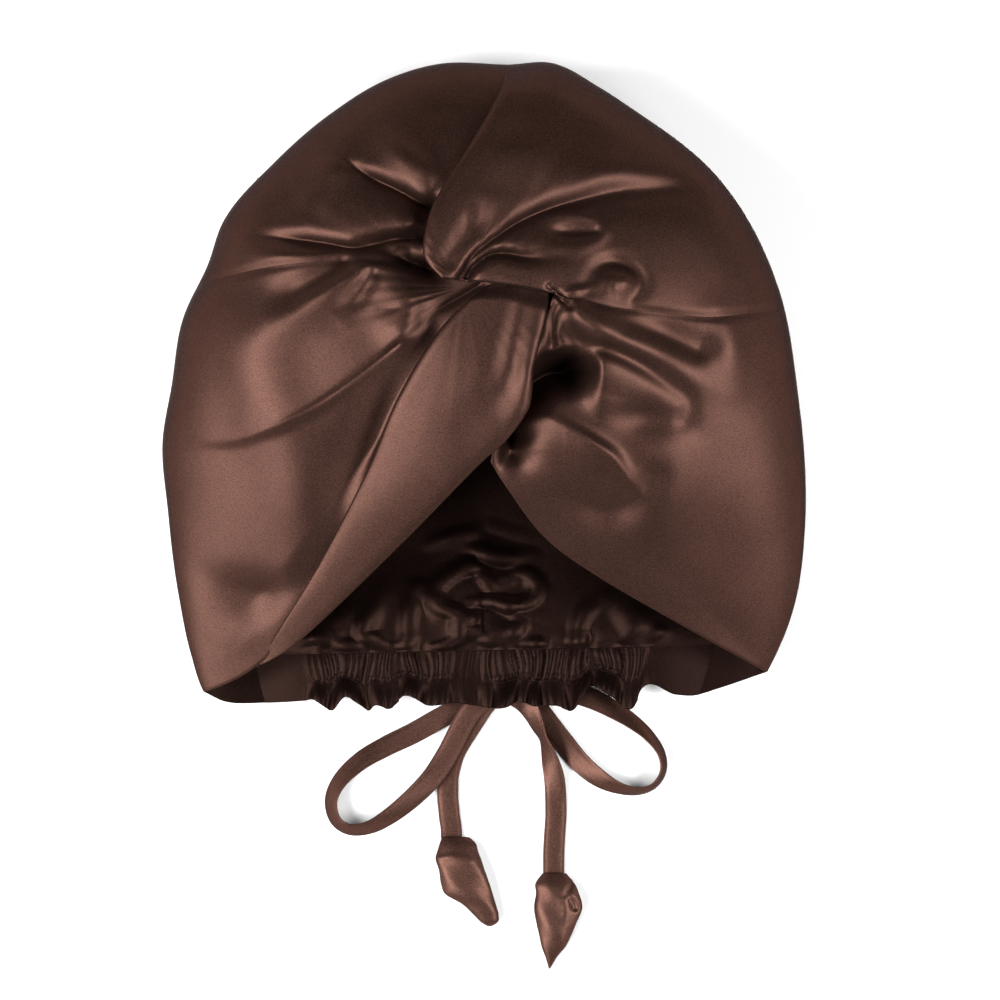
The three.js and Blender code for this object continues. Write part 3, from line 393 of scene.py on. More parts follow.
def relief(folds, p):
    """Sum of the folds at points of the plan."""
    total = np.zeros(p.shape[:-1])
    for fold in folds:
        line = spline(np.array(fold.path) * MM)(np.linspace(0, 1, FOLD_STEPS * len(fold.path)))
        margin = FOLD_REACH * MM * max(fold.left, fold.right) * max(1, fold.spread)
        near = ((p > line.min(0) - margin) & (p < line.max(0) + margin)).all(-1)
        if not near.any():
            continue
        distance, share, side = to_line(line, p[near])
        width = lerp(fold.right, fold.left, (side + 1) / 2) * lerp(1, fold.spread, smooth(share, 0, 1))
        start, middle, end = fold.heights
        height = lerp(lerp(start, middle, smooth(share, 0, 0.5)), end, smooth(share, 0.5, 1))
        total[near] += MM * height * bell(distance / MM, width, fold.power)
    return total


def rim_fade(p):
    """Folds flatten out where the cloth turns down over the outline."""
    return 1 - smooth(rim_share(p), *RIM_FADE)


# Fine gathers round the twist: how many waves are summed, the most in a full turn, and how far they curve.
RIPPLE_WAVES = 5
RIPPLE_COUNT = 46
RIPPLE_BEND = 18
# They begin this far from the twist and die away over this length.
RIPPLE_START = 0.012
RIPPLE_REACH = 0.07
# Slow waves of the cloth: waves that are summed, their usual length, and the shares of it that they take.
SWELL_WAVES = 6
SWELL_LENGTH = 0.05
SWELL_SPREAD = (0.6, 1.5)


def ripples(p, centre, count, seed):
    """Fine gathers that run out from a centre, between -1 and 1."""
    rng = np.random.default_rng(seed)
    away = p - centre
    radius, angle = np.linalg.norm(away, axis=-1), np.arctan2(away[..., 1], away[..., 0])
    total = np.zeros(radius.shape)
    for _ in range(RIPPLE_WAVES):
        turns = rng.integers(count // 2, count)
        bend = rng.uniform(-RIPPLE_BEND, RIPPLE_BEND)
        total += np.sin(turns * angle + bend * radius + rng.uniform(0, 2 * math.pi)) / RIPPLE_WAVES
    return total * (1 - bell(radius, RIPPLE_START)) * np.exp(-radius / RIPPLE_REACH)


def swells(p, size, seed):
    """Slow waves of the cloth, between -1 and 1."""
    rng = np.random.default_rng(seed)
    total = np.zeros(p.shape[:-1])
    for _ in range(SWELL_WAVES):
        heading, length = rng.uniform(0, 2 * math.pi), size * rng.uniform(*SWELL_SPREAD)
        wave = (p[..., 0] * math.cos(heading) + p[..., 1] * math.sin(heading)) * 2 * math.pi / length
        total += np.sin(wave + rng.uniform(0, 2 * math.pi)) / SWELL_WAVES
    return total


# Seams and folded edges, each from the twist outwards.
left_seam = through([
    (-0.02, 0.34), (-0.14, 0.335), (-0.22, 0.355), (-0.36, 0.367), (-0.52, 0.365), (-0.7, 0.345),
], "seam_left")
right_seam = through([(0.22, 0.27), (0.3, 0.24), (0.5, 0.215), (0.7, 0.2)], "seam_right")
lobe_edge = through(
    [(-0.13, 0.31), (-0.185, 0.38), (-0.175, 0.48), (-0.14, 0.57), (-0.04, 0.73), (0.045, 0.89)], "lobe"
)
tongue_edge = through([(-0.13, 0.31), (-0.05, 0.305), (0.08, 0.29), (0.22, 0.27)])
strip_left = through([
    (0.0, 0.29), (-0.14, 0.154), (-0.264, -0.046), (-0.357, -0.262), (-0.503, -0.538), (-0.612, -0.714),
    (-0.705, -0.855),
])
strip_hem = through([
    (0.2, 0.28), (0.183, 0.178), (0.149, 0.043), (0.144, -0.03), (0.127, -0.092), (0.06, -0.18),
    (-0.02, -0.25), (-0.26, -0.49), (-0.57, -0.78), (-0.722, -0.873),
])
right_hem = through([(0.02, -0.24), (0.17, -0.45), (0.34, -0.58), (0.6, -0.73)], "right")
under_lobe = through(
    [(0.0, 0.38), (-0.08, 0.45), (-0.08, 0.52), (-0.05, 0.6), (0.01, 0.74), (0.05, 0.89)], "lobe"
)
under_strip_left = through([
    (0.06, 0.25), (-0.04, 0.12), (-0.16, 0.0), (-0.28, -0.22), (-0.42, -0.46), (-0.54, -0.64),
    (-0.655, -0.805), (-0.72, -0.868), (-0.8, -0.915),
], "left")
under_strip_right = through(
    [(0.2, 0.285), (0.17, 0.2), (0.15, 0.13), (0.12, 0.06), (0.07, 0.0), (0.04, -0.1), (0.02, -0.24)]
)
TWIST = place(-0.06, 0.29)
# How deep the left-hand cloths sink into the twist, and how far from it.
TWIST_SINK = 0.005
TWIST_SINK_WIDTH = 0.02
# Depth and half width of the groove that a stitched seam draws.
SEAM_DEPTH = 0.0011
SEAM_WIDTH = 0.0022
# How far a folded edge curls down, and over what width.
EDGE_CURL = 0.0022
EDGE_CURL_WIDTH = 0.005
# The twist band stands off the cloths under it, by this much at its left edge and this much more at its hem.
STRIP_RAISE = 0.0004
STRIP_RISE = 0.0064
# How far the band's upper end dives into the twist.
STRIP_DIVE = 0.005
# Seeds of the fine relief, left and right of the twist and on the band.
LEFT_SEED = 11
RIGHT_SEED = 23
STRIP_SEED = 31


def backwards(curve):
    return lambda t: curve(1 - np.asarray(t))


def sampled(curve, count=120):
    return curve(np.linspace(0, 1, count))


def twist_sink(p):
    return TWIST_SINK * bell(np.linalg.norm(p - TWIST, axis=-1), TWIST_SINK_WIDTH)


def curl(distance):
    """How far a folded edge has curled down at this distance from it."""
    share = np.clip(1 - distance / EDGE_CURL_WIDTH, 0, 1)
    return EDGE_CURL * (1 - np.sqrt(1 - share * share))


def ditch(p, seam):
    """How deep a stitched seam draws the cloth in."""
    return SEAM_DEPTH * bell(to_line(sampled(seam), p)[0], SEAM_WIDTH)


def crowded(count, end):
    """Shares from 0 to 1 that crowd towards 1, where the cloth turns down steeply."""
    t = np.linspace(0, 1, count + 1)
    return lerp(t, np.sin(t * math.pi / 2), end)


def grid(surface, columns, rows, towards_rim):
    u, v = np.meshgrid(np.linspace(0, 1, columns + 1), crowded(rows, towards_rim))
    return surface(u, v)


def normals_of(points):
    along, across = np.gradient(points, axis=0), np.gradient(points, axis=1)
    normal = np.cross(across, along)
    return normal / np.linalg.norm(normal, axis=-1, keepdims=True)


def wall(name, points, inside, cloth=CLOTH):
    """A cloth with a rounded edge all round: its face, and the lining a cloth's thickness inside."""
    rows, columns = points.shape[:2]
    normal = normals_of(points)
    if (normal[rows // 2, columns // 2, 2] * inside) < 0:
        normal = -normal
    lining = points + normal * cloth
    loop = [(0, c) for c in range(columns)] + [(r, columns - 1) for r in range(1, rows)]
    loop += [(rows - 1, c) for c in range(columns - 2, -1, -1)] + [(r, 0) for r in range(rows - 2, 0, -1)]
    size = rows * columns
    face_loop = np.array([r * columns + c for r, c in loop])
    flat, under = points.reshape(-1, 3), lining.reshape(-1, 3)
    inner = np.array([np.clip(r, 1, rows - 2) * columns + np.clip(c, 1, columns - 2) for r, c in loop])
    out = flat[face_loop] - flat[inner]
    out /= np.linalg.norm(out, axis=1, keepdims=True) + 1e-12
    middle = (flat[face_loop] + under[face_loop]) / 2
    half = (flat[face_loop] - under[face_loop]) / 2
    turns = [math.radians(a) for a in (45, 90, 135)]
    rounding = [middle + half * math.cos(a) + out * cloth / 2 * math.sin(a) for a in turns]
    vertices = np.concatenate([flat, under, *rounding])
    index = np.arange(size).reshape(rows, columns)
    quads = np.stack([index[:-1, :-1], index[:-1, 1:], index[1:, 1:], index[1:, :-1]], -1).reshape(-1, 4)
    rounded = [2 * size + k * len(loop) + np.arange(len(loop)) for k in range(len(turns))]
    rings = [face_loop, *rounded, face_loop + size]
    sides = [np.stack([a, b, np.roll(b, -1), np.roll(a, -1)], 1) for a, b in zip(rings[:-1], rings[1:])]
    faces = np.concatenate([quads, quads[:, ::-1] + size, *sides])
    return mesh_piece(name, vertices, faces.tolist())


def mesh_piece(name, vertices, faces):
    mesh = bpy.data.meshes.new(name)
    mesh.from_pydata(vertices.tolist(), [], faces)
    mesh.validate()
    mesh.update()
    piece = bpy.data.objects.new(name, mesh)
    bpy.context.scene.collection.objects.link(piece)
    mesh.shade_smooth()
    return piece


def inside_rim(v):
    """1 over most of a cloth and 0 at the outline, where the lobe's loose edge is sewn down."""
    return 1 - smooth(v, 0.85, 1)


def left_cloth(p, shown):
    """The surface left of the twist, with its folds only where nothing covers it."""
    height = front_height(p) + relief(LEFT_FOLDS, p) * rim_fade(p) * shown - twist_sink(p)
    return raised(p, height + fine_relief(p, LEFT_SEED) * shown - ditch(p, left_seam))


def crown_left(u, v):
    plan = plan_between(
        left_seam, under_lobe, through([(-0.02, 0.34), (0.0, 0.36), (0.0, 0.38)]),
        rim_arc("seam_left", "lobe"),
    )
    return left_cloth(plan(u, v), 1 - smooth(u, 0.7, 0.9) * inside_rim(v))


def front_left(u, v):
    plan = plan_between(
        under_strip_left, left_seam, through([(0.06, 0.25), (0.04, 0.3), (-0.02, 0.34)]),
        rim_arc("left", "seam_left"),
    )
    return left_cloth(plan(u, v), smooth(u, 0.02, 0.12))


def right_folds(p):
    return relief(RIGHT_FOLDS, p) * rim_fade(p) + fine_relief(p, RIGHT_SEED)


def right_cloth(p, v, height):
    """The surface right of the twist, with its seam drawn in away from the twist."""
    return raised(p, height - ditch(p, right_seam) * smooth(v, 0.02, 0.2))


def seam_lift(v):
    """How far the right-hand cloths lie above the left-hand ones near the twist."""
    return LAYER * (1 - smooth(v, 0.05, 0.4))


def crown_right(u, v):
    plan = plan_between(lobe_edge, right_seam, tongue_edge, rim_arc("lobe", "seam_right"))
    p = plan(u, v)
    tongue = 1 - smooth(v, 0.1, 0.5)
    lobe = (1 - smooth(u, 0.1, 0.5)) * inside_rim(v)
    lift = lerp(np.maximum(tongue, lobe) * (LAYER + EDGE_CURL), seam_lift(v), smooth(u, 0.6, 1))
    side = curl(np.linalg.norm(p - lobe_edge(v), axis=-1)) * inside_rim(v)
    front = curl(np.linalg.norm(p - tongue_edge(u), axis=-1)) * (1 - smooth(u, 0.6, 1))
    folds = right_folds(p) * smooth(u + v, 0, 0.12)
    return right_cloth(p, v, front_height(p) + folds + lift - np.maximum(side, front))


def front_right(u, v):
    plan = plan_between(right_hem, right_seam, backwards(under_strip_right), rim_arc("right", "seam_right"))
    p = plan(u, v)
    hidden = (1 - smooth(v, 0.0, 0.05)) * (1 - smooth(u, 0.75, 1))
    folds = right_folds(p) * (1 - hidden)
    return right_cloth(p, v, front_height(p) + folds + seam_lift(v) * smooth(u, 0.7, 1) - LAYER * hidden)


def strip(u, v):
    """The band out of the twist. It rises towards its hem and sinks in at both ends."""
    plan = plan_between(
        strip_left, strip_hem, through([(0.0, 0.29), (0.1, 0.3), (0.2, 0.28)]),
        through([(-0.705, -0.855), (-0.722, -0.873)]),
    )
    p = plan(u, v)
    edges = sum(curl(np.linalg.norm(p - edge(v), axis=-1)) for edge in (strip_left, strip_hem))
    lift = LAYER + EDGE_CURL * (1 - v)
    dive = STRIP_DIVE * (1 - smooth(v, 0, 0.05)) + (LAYER + CLOTH) * smooth(v, 0.9, 1)
    standing = smooth(v, 0.0, 0.25) * (1 - smooth(v, 0.35, 0.95))
    rise = (STRIP_RAISE + STRIP_RISE * (1 - (1 - u) ** 2)) * standing
    height = front_height(p) + relief(STRIP_FOLDS, p) * (1 - v) + lift + rise - edges * (1 - v) - dive
    return raised(p, height + 0.5 * fine_relief(p, STRIP_SEED))


def raised(p, height):
    return np.concatenate([p, height[..., None]], -1)


def fine_relief(p, seed):
    settings = bpy.context.scene.bonnet_cloth
    gathers = settings.gather_height * ripples(p, TWIST, RIPPLE_COUNT, seed)
    return (gathers + settings.swell_height * swells(p, SWELL_LENGTH, seed)) * rim_fade(p)


# The nape seam meets the outline this share of the way from the lower corners up to the side seams.
NAPE_SEAM_SHARE = 1 / 14
# Turns of the outline where the back's side edges end at the crown.
BACK_CORNERS = (138, 42)
# Spacing and seed of the fine and the wide gathers of the casing.
FINE_PLEATS = (0.0036, 5)
WIDE_PLEATS = (0.0105, 7)
# Spacing and seed of the puckers left and right of the seam up the middle of the back.
LEFT_PUCKERS = (0.011, 8)
RIGHT_PUCKERS = (0.014, 9)
# The shortest and the longest of a row of gathers, as shares of their spacing.
PLEAT_SPREAD = (0.5, 1.6)
# Heights in the back: fine and wide gathers above the casing, puckers, the middle seam and slack cloth.
FINE_GATHER = 0.0018
WIDE_GATHER = 0.003
PUCKER = 0.0026
MIDDLE_SEAM = 0.0016
SLACK = 0.0016
# Half width of the middle seam, and length and seed of the slack cloth's waves.
MIDDLE_SEAM_WIDTH = 0.0016
SLACK_WAVES = (0.045, 4)
# Heights in the nape, fine and wide: the gathers of the casing, those of the frill, and the stitch line.
CASING_HEIGHTS = (0.0020, 0.0030)
FRILL_HEIGHTS = (0.0012, 0.006)
STITCH_DEPTH = 0.0009
STITCH_SPACING = 0.0024
NAPE_CLOTH = 0.001
NAPE_CLEARANCE = 0.0004


def nape_ends():
    """The ends of the nape seam on the outline, left and right, and their turns."""
    turns = (
        lerp(CORNERS["left"], CORNERS["seam_left"], NAPE_SEAM_SHARE),
        lerp(CORNERS["right"], CORNERS["seam_right"], NAPE_SEAM_SHARE),
    )
    return rim_place(turns[0]), rim_place(turns[1]), turns


def pleats(x, spacing, seed):
    """Uneven gathers along x, between 0 and 1, with narrow valleys."""
    rng = np.random.default_rng(seed)
    edges = np.cumsum(spacing * rng.uniform(*PLEAT_SPREAD, int(0.5 / spacing))) - 0.25
    sizes = rng.uniform(0.35, 1.0, len(edges))
    i = np.clip(np.searchsorted(edges, x, side="right") - 1, 0, len(edges) - 2)
    share = (x - edges[i]) / (edges[i + 1] - edges[i])
    return sizes[i] * np.abs(np.sin(math.pi * share)) ** 0.75


def in_casing(p):
    """1 where the nape is gathered, 0 at its smooth ends and at the flat join in its middle."""
    ends = 1 - smooth(np.abs((p[..., 0] - CASING_OFFSET) / CASING_WIDTH), 0.46, 0.53)
    return ends * (1 - 0.85 * bell(p[..., 0] - FLAT_JOIN, FLAT_JOIN_WIDTH / 2, 6))


def nape_line(p):
    left, right, _ = nape_ends()
    return lerp(left[1], right[1], (p[..., 0] - left[0]) / (right[0] - left[0]))


def casing_gathers(x, share):
    """Fine and wide gathers along the casing. The share runs from its upper seam to the frill's edge."""
    across = x + 0.0012 * np.sin(5 * share + x / 0.007)
    return pleats(across, *FINE_PLEATS), pleats(across, *WIDE_PLEATS)


def nape_relief(p):
    """Folds, gathers above the casing, and puckers on both sides of the seam up the middle."""
    x, y = p[..., 0], p[..., 1]
    from_seam = y - nape_line(p)
    begin = smooth(from_seam, 0, 0.007 + 0.004 * np.sin(x / 0.009) * np.sin(x / 0.0053))
    reach = 0.012 + 0.009 * np.sin(x / 0.011) * np.sin(x / 0.0047)
    bend = 0.0018 * np.sin(from_seam / 0.006 + x / 0.009) * begin
    fine, wide = casing_gathers(x + bend, 0)
    gathers = FINE_GATHER * fine * (1 - smooth(from_seam, 0, 0.006))
    gathers = gathers + WIDE_GATHER * wide * (1 - smooth(from_seam, 0.002, reach))
    beside = x - CENTRE_SEAM - 0.0016 * np.sin(from_seam / 0.009)
    left = pleats(y - 0.5 * beside, *LEFT_PUCKERS) * bell(beside, 0.015)
    right = pleats(y + 0.3 * beside, *RIGHT_PUCKERS) * bell(beside, 0.02)
    puckers = PUCKER * np.where(beside < 0, left, right) * smooth(np.abs(beside), 0, 0.002)
    seam = MIDDLE_SEAM * bell(beside, MIDDLE_SEAM_WIDTH)
    centre = (puckers - seam) * (1 - smooth(from_seam, 0.035, 0.07))
    loose = SLACK * (1 + swells(p, *SLACK_WAVES)) * rim_fade(p)
    return gathers * in_casing(p) + begin * (relief(BACK_FOLDS, p) * rim_fade(p) + centre + loose)


def back(u, v):
    left, right, turns = nape_ends()
    plan = plan_between(
        lambda t: lerp(left, right, np.asarray(t)[..., None]),
        lambda t: rim_place(lerp(*BACK_CORNERS, t)),
        lambda t: rim_place(lerp(turns[0], BACK_CORNERS[0], t)),
        lambda t: rim_place(lerp(turns[1], BACK_CORNERS[1], t)),
    )
    p = plan(u, v)
    return raised(p, np.maximum(back_height(p) + nape_relief(p), 0))


def nape(u, v):
    left, right, turns = nape_ends()
    corners = rim_place(CORNERS["left"]), rim_place(CORNERS["right"])

    def frill(t):
        x = lerp(corners[0][0], corners[1][0], np.asarray(t))
        return place(x * 2 / WIDTH, frill_at(x * 2 / WIDTH))

    plan = plan_between(
        lambda t: lerp(left, right, np.asarray(t)[..., None]) + [0, NAPE_LAP], frill,
        lambda t: rim_place(lerp(turns[0], CORNERS["left"], t)),
        lambda t: rim_place(lerp(turns[1], CORNERS["right"], t)),
    )
    p = plan(u, v)
    fine, wide = casing_gathers(p[..., 0], u)
    casing = CASING_HEIGHTS[0] * fine + CASING_HEIGHTS[1] * wide
    casing = casing * (0.7 + 0.3 * np.sin(math.pi * np.clip(u / 0.5, 0, 1)) ** 2)
    hang = (FRILL_HEIGHTS[0] * fine + FRILL_HEIGHTS[1] * wide) * smooth(u, 0.5, 1)
    thread = 0.6 + 0.4 * np.sin(p[..., 0] * 2 * math.pi / STITCH_SPACING)
    stitch = STITCH_DEPTH * thread * (bell(u - 0.5, 0.025) + 0.3 * bell(u - 0.04, 0.025))
    gathered = casing * (1 - smooth(u, 0.5, 0.6)) + hang
    return raised(p, back_height(p) + in_casing(p) * (gathered - stitch) + NAPE_CLEARANCE)


# Middle of the knot, and the strings' routes from it: x, y and height in millimetres, and roll in degrees.
BOW_PLACE = place(0.047, -0.938)
STRING_ROUTES = {
    "tie_loop_left": [
        (-6.9, -2.8, 1.0, 0), (-12.0, -6.0, 1.0, 0), (-19.3, -9.7, 1.0, 0), (-29.4, -15.2, 1.2, -4),
        (-40.9, -21.6, 1.9, -12), (-53.4, -27.6, 2.7, -22), (-65.3, -34.5, 3.6, -34),
        (-74.5, -43.2, 4.4, -46), (-78.7, -52.4, 4.8, -54), (-76.8, -61.6, 5.0, -58),
        (-69.9, -66.2, 5.0, -58), (-60.3, -64.9, 4.9, -50), (-50.6, -59.3, 4.7, -38),
        (-40.5, -51.1, 4.4, -24), (-31.7, -41.9, 4.2, -10), (-24.8, -31.3, 4.2, 0),
        (-19.8, -21.6, 4.4, 0), (-15.2, -13.3, 4.6, 0), (-10.6, -7.8, 4.7, 0), (-5.8, -4.4, 4.7, 0),
    ],
    "tie_loop_right": [
        (6.5, -3.5, 1.0, 0), (12.9, -6.9, 1.0, 0), (18.4, -11.5, 1.0, 0), (23.9, -18.4, 1.1, -3),
        (30.4, -26.7, 1.5, -7), (37.7, -35.4, 2.2, -16), (45.5, -41.9, 3.4, -31), (54.3, -46.5, 4.9, -54),
        (63.5, -48.3, 5.3, -68), (71.3, -46.0, 5.4, -74), (75.9, -39.1, 5.4, -74), (75.0, -30.4, 5.4, -70),
        (69.0, -22.1, 5.1, -60), (61.2, -15.6, 4.7, -48), (52.4, -10.1, 4.0, -34), (43.2, -5.5, 3.4, -20),
        (33.1, -2.3, 3.0, -8), (23.0, -0.9, 2.8, 0), (14.7, -0.2, 2.8, 0), (7.6, 0.0, 2.8, 0),
    ],
    "tie_tail_left": [
        (-5.1, -5.4, 2.85, 0), (-8.7, -10.1, 2.85, 0), (-12.0, -15.2, 2.8, 0), (-15.2, -20.2, 2.2, 0),
        (-18.4, -25.3, 1.4, 0), (-21.2, -30.4, 0.9, 0), (-23.0, -35.9, 0.8, 0), (-24.2, -41.4, 0.8, 0),
        (-24.4, -46.9, 0.8, 0), (-24.4, -52.4, 0.8, 0), (-23.9, -57.0, 0.8, 0), (-23.5, -61.2, 0.8, 0),
        (-22.9, -64.9, 0.9, 0), (-22.7, -68.1, 1.1, 0), (-22.7, -70.4, 1.3, 0),
    ],
    "tie_tail_right": [
        (6.5, -3.6, 4.7, 0), (9.6, -5.4, 4.7, -4), (12.5, -8.2, 4.6, -18), (15.2, -12.8, 4.6, -38),
        (17.9, -18.9, 5.0, -56), (20.2, -23.9, 5.3, -70), (22.1, -29.4, 5.0, -54), (23.7, -35.4, 4.0, -34),
        (25.1, -41.4, 2.8, -18), (25.8, -47.8, 1.6, -7), (26.0, -54.3, 0.9, 0), (26.0, -60.7, 0.8, 0),
        (25.6, -67.2, 0.8, 0), (25.2, -73.6, 0.8, 0), (25.0, -80.0, 0.9, 0), (25.0, -87.4, 1.2, 0),
    ],
}
# The upper half of a string's section, in shares of half the width and half the thickness.
STRING_PROFILE = table("across half", [
    (-1.0, 0.0), (-0.985, 0.5), (-0.93, 0.8), (-0.84, 0.5), (-0.76, 0.8), (-0.4, 1.0), (0.0, 1.1),
    (0.4, 1.0), (0.76, 0.8), (0.84, 0.5), (0.93, 0.8), (0.985, 0.5), (1.0, 0.0),
])
# Outlines of the tips from the neck down, with their sides and thickness as shares of the full ones.
LEFT_TIP = table("along left right high", [
    (0.0, -0.2, 0.36, 0.4), (0.06, -0.24, 0.5, 0.62), (0.14, -0.29, 0.55, 0.8), (0.22, -0.33, 0.61, 0.92),
    (0.34, -0.26, 0.69, 1.0), (0.5, -0.21, 0.8, 0.97), (0.6, -0.12, 0.86, 0.9), (0.7, 0.22, 0.92, 0.8),
    (0.82, 0.47, 0.98, 0.65), (0.9, 0.63, 0.95, 0.5), (0.935, 0.74, 0.84, 0.25),
])
RIGHT_TIP = table("along left right high", [
    (0.0, -0.24, 0.26, 0.4), (0.1, -0.38, 0.43, 0.75), (0.2, -0.37, 0.52, 0.92), (0.35, -0.41, 0.59, 1.0),
    (0.54, -0.35, 0.45, 0.95), (0.65, -0.3, 0.36, 0.85), (0.77, -0.25, 0.24, 0.68),
    (0.88, -0.17, 0.06, 0.45), (1.0, -0.1, -0.075, 0.2),
])
# Spacing of the rings along a string, and the height of the creases in its faces.
STRING_STEP = 0.0012
STRING_CREASE = 0.00018
# Points round a tip or the knot, and rings along each.
ROUND_SIDES = 48
TIP_RINGS = 70
KNOT_RINGS = 40
# A roll is scaled by this in the spline, so that it hardly counts in the length.
ROLL_SCALE = 1e-4


def tube(name, rings):
    """A closed skin over rings of points, with a fan at each end."""
    rings = np.asarray(rings)
    count, sides = rings.shape[:2]
    vertices = np.concatenate([rings.reshape(-1, 3), rings[0].mean(0)[None], rings[-1].mean(0)[None]])
    index = np.arange(count * sides).reshape(count, sides)
    turned = np.roll(index, -1, 1)
    faces = np.stack([index[:-1], turned[:-1], turned[1:], index[1:]], -1).reshape(-1, 4).tolist()
    faces += [[count * sides, b, a] for a, b in zip(index[0], turned[0])]
    faces += [[count * sides + 1, a, b] for a, b in zip(index[-1], turned[-1])]
    return mesh_piece(name, vertices, faces)


def string_path(route):
    """Points along a route, the roll at each, and the route's length."""
    rows = np.array(route, float)
    points = rows[:, :3] * MM + [*BOW_PLACE, 0]
    curve = spline(np.concatenate([points, rows[:, 3:]], 1) * [1, 1, 1, ROLL_SCALE])
    length = np.linalg.norm(np.diff(curve(np.linspace(0, 1, 400))[:, :3], axis=0), axis=1).sum()
    fine = curve(np.linspace(0, 1, int(length / STRING_STEP)))
    return fine[:, :3], np.radians(fine[:, 3] / ROLL_SCALE), length


def string_piece(name, seed):
    """A flat string: its path's rings, each with two faces, edge stitching and a few soft creases."""
    path, roll, length = string_path(STRING_ROUTES[name])
    tangent = np.gradient(path, axis=0) * [1, 1, 0]
    tangent /= np.linalg.norm(tangent, axis=1, keepdims=True)
    level = np.stack([tangent[:, 1], -tangent[:, 0], np.zeros(len(path))], 1)
    up = np.array([0.0, 0.0, 1.0])
    side = level * np.cos(roll)[:, None] + up * np.sin(roll)[:, None]
    face = up * np.cos(roll)[:, None] - level * np.sin(roll)[:, None]
    profile = STRING_PROFILE
    across = np.concatenate([profile["across"], profile["across"][-2:0:-1]])
    high = np.concatenate([profile["half"], -profile["half"][-2:0:-1]])
    rng = np.random.default_rng(seed)
    s = np.linspace(0, length, len(path))
    wave = sum(np.sin(s / rng.uniform(0.003, 0.008) + rng.uniform(0, 6.3)) for _ in range(4)) / 4
    rings = path[:, None] + side[:, None] * (across * STRING_WIDTH / 2)[None, :, None]
    body = (1 - np.abs(across)) * wave[:, None] * STRING_CREASE
    rings = rings + face[:, None] * (high * STRING_THICKNESS / 2 + body)[..., None]
    rings[..., 2] = np.maximum(rings[..., 2], FLOOR_GAP)
    return tube(name, rings), path, length


def tip_piece(name, rows, string_name):
    """A stuffed leaf-shaped tip with a pinched seam along its sides and a few puckers at its neck."""
    x, y = np.array(STRING_ROUTES[string_name][-1][:2]) * MM + BOW_PLACE
    columns = {key: cubic(rows, "along", key) for key in ("left", "right", "high")}
    rings = []
    angles = np.linspace(0, 2 * math.pi, ROUND_SIDES, endpoint=False)
    for along in np.linspace(0, rows["along"][-1], TIP_RINGS):
        left, right, high = (columns[key](along) for key in ("left", "right", "high"))
        middle, half = (left + right) / 2 * TIP_WIDTH, (right - left) / 2 * TIP_WIDTH
        pinch = np.sign(np.cos(angles)) * np.abs(np.cos(angles)) ** 0.8
        pucker = 0.07 * np.sin(7 * angles + 9 * along) * math.exp(-along / 0.16)
        dent = 0.10 * np.sin(3.1 * angles + 14 * along + 1.0) * math.sin(math.pi * along)
        thick = high * TIP_THICKNESS / 2
        rise = np.sign(np.sin(angles)) * np.abs(np.sin(angles)) ** 1.15 * (1 + pucker + dent)
        down = np.full(len(angles), y - TIP_GAP - along * TIP_LENGTH)
        plan = np.stack([x + middle + half * pinch, down], 1)
        folds = relief(TIP_FOLDS, plan) * np.clip(np.sin(angles), 0, 1)
        rings.append(raised(plan, np.maximum(FLOOR_GAP + thick * (1 + rise) + folds, FLOOR_GAP)))
    neck = rings[0].mean(0)
    return tube(name, [neck + (rings[0] - neck) * 0.86, *rings])


def knot_piece():
    """The tied knot: a soft drum of wound string."""
    rings = []
    angles = np.linspace(0, 2 * math.pi, ROUND_SIDES, endpoint=False)
    for t in np.linspace(0.02, 0.98, KNOT_RINGS):
        bulge = math.sin(math.pi * t) ** 0.35
        wraps = 1 + 0.05 * np.sin(3 * 2 * math.pi * t + angles)
        radius = KNOT_WIDTH / 2 * 0.93 * bulge * wraps
        plan = BOW_PLACE + np.stack([radius * np.cos(angles), radius * np.sin(angles)], 1)
        rings.append(raised(plan, np.full(ROUND_SIDES, FLOOR_GAP + KNOT_HEIGHT * t)))
    return tube("knot_cloth", rings)


# Size of the weave, and the height of its relief.
WEAVE = 0.0006
WEAVE_HEIGHT = 0.0002
GRAZING_TINT = (0.3, 0.22, 0.2)
SHEEN_TINT = (0.85, 0.6, 0.5)
# The tint's darkest and brightest patches, and how far the roughness changes from place to place.
PATCHES = (0.86, 1.12)
ROUGHNESS_CHANGE = (-0.06, 0.08)


def colour_mix(nodes, blend):
    mix = nodes.new("ShaderNodeMix")
    mix.data_type = "RGBA"
    mix.blend_type = blend
    return mix


def woven_colour(nodes, links, tint, cloud, grain):
    """The tint in slow patches, speckled by the weave."""
    colour = colour_mix(nodes, "MIX")
    colour.inputs["A"].default_value = (*(c * PATCHES[0] for c in tint), 1)
    colour.inputs["B"].default_value = (*(c * PATCHES[1] for c in tint), 1)
    links.new(cloud.outputs["Fac"], colour.inputs["Factor"])
    speckle = colour_mix(nodes, "MULTIPLY")
    speckle.inputs["Factor"].default_value = 0.8
    links.new(colour.outputs["Result"], speckle.inputs["A"])
    shade = nodes.new("ShaderNodeMapRange")
    shade.inputs["From Min"].default_value = 0.33
    shade.inputs["From Max"].default_value = 0.67
    shade.inputs["To Min"].default_value = 0.6
    shade.inputs["To Max"].default_value = 1.45
    links.new(grain.outputs["Fac"], shade.inputs["Value"])
    links.new(shade.outputs["Result"], speckle.inputs["B"])
    return speckle


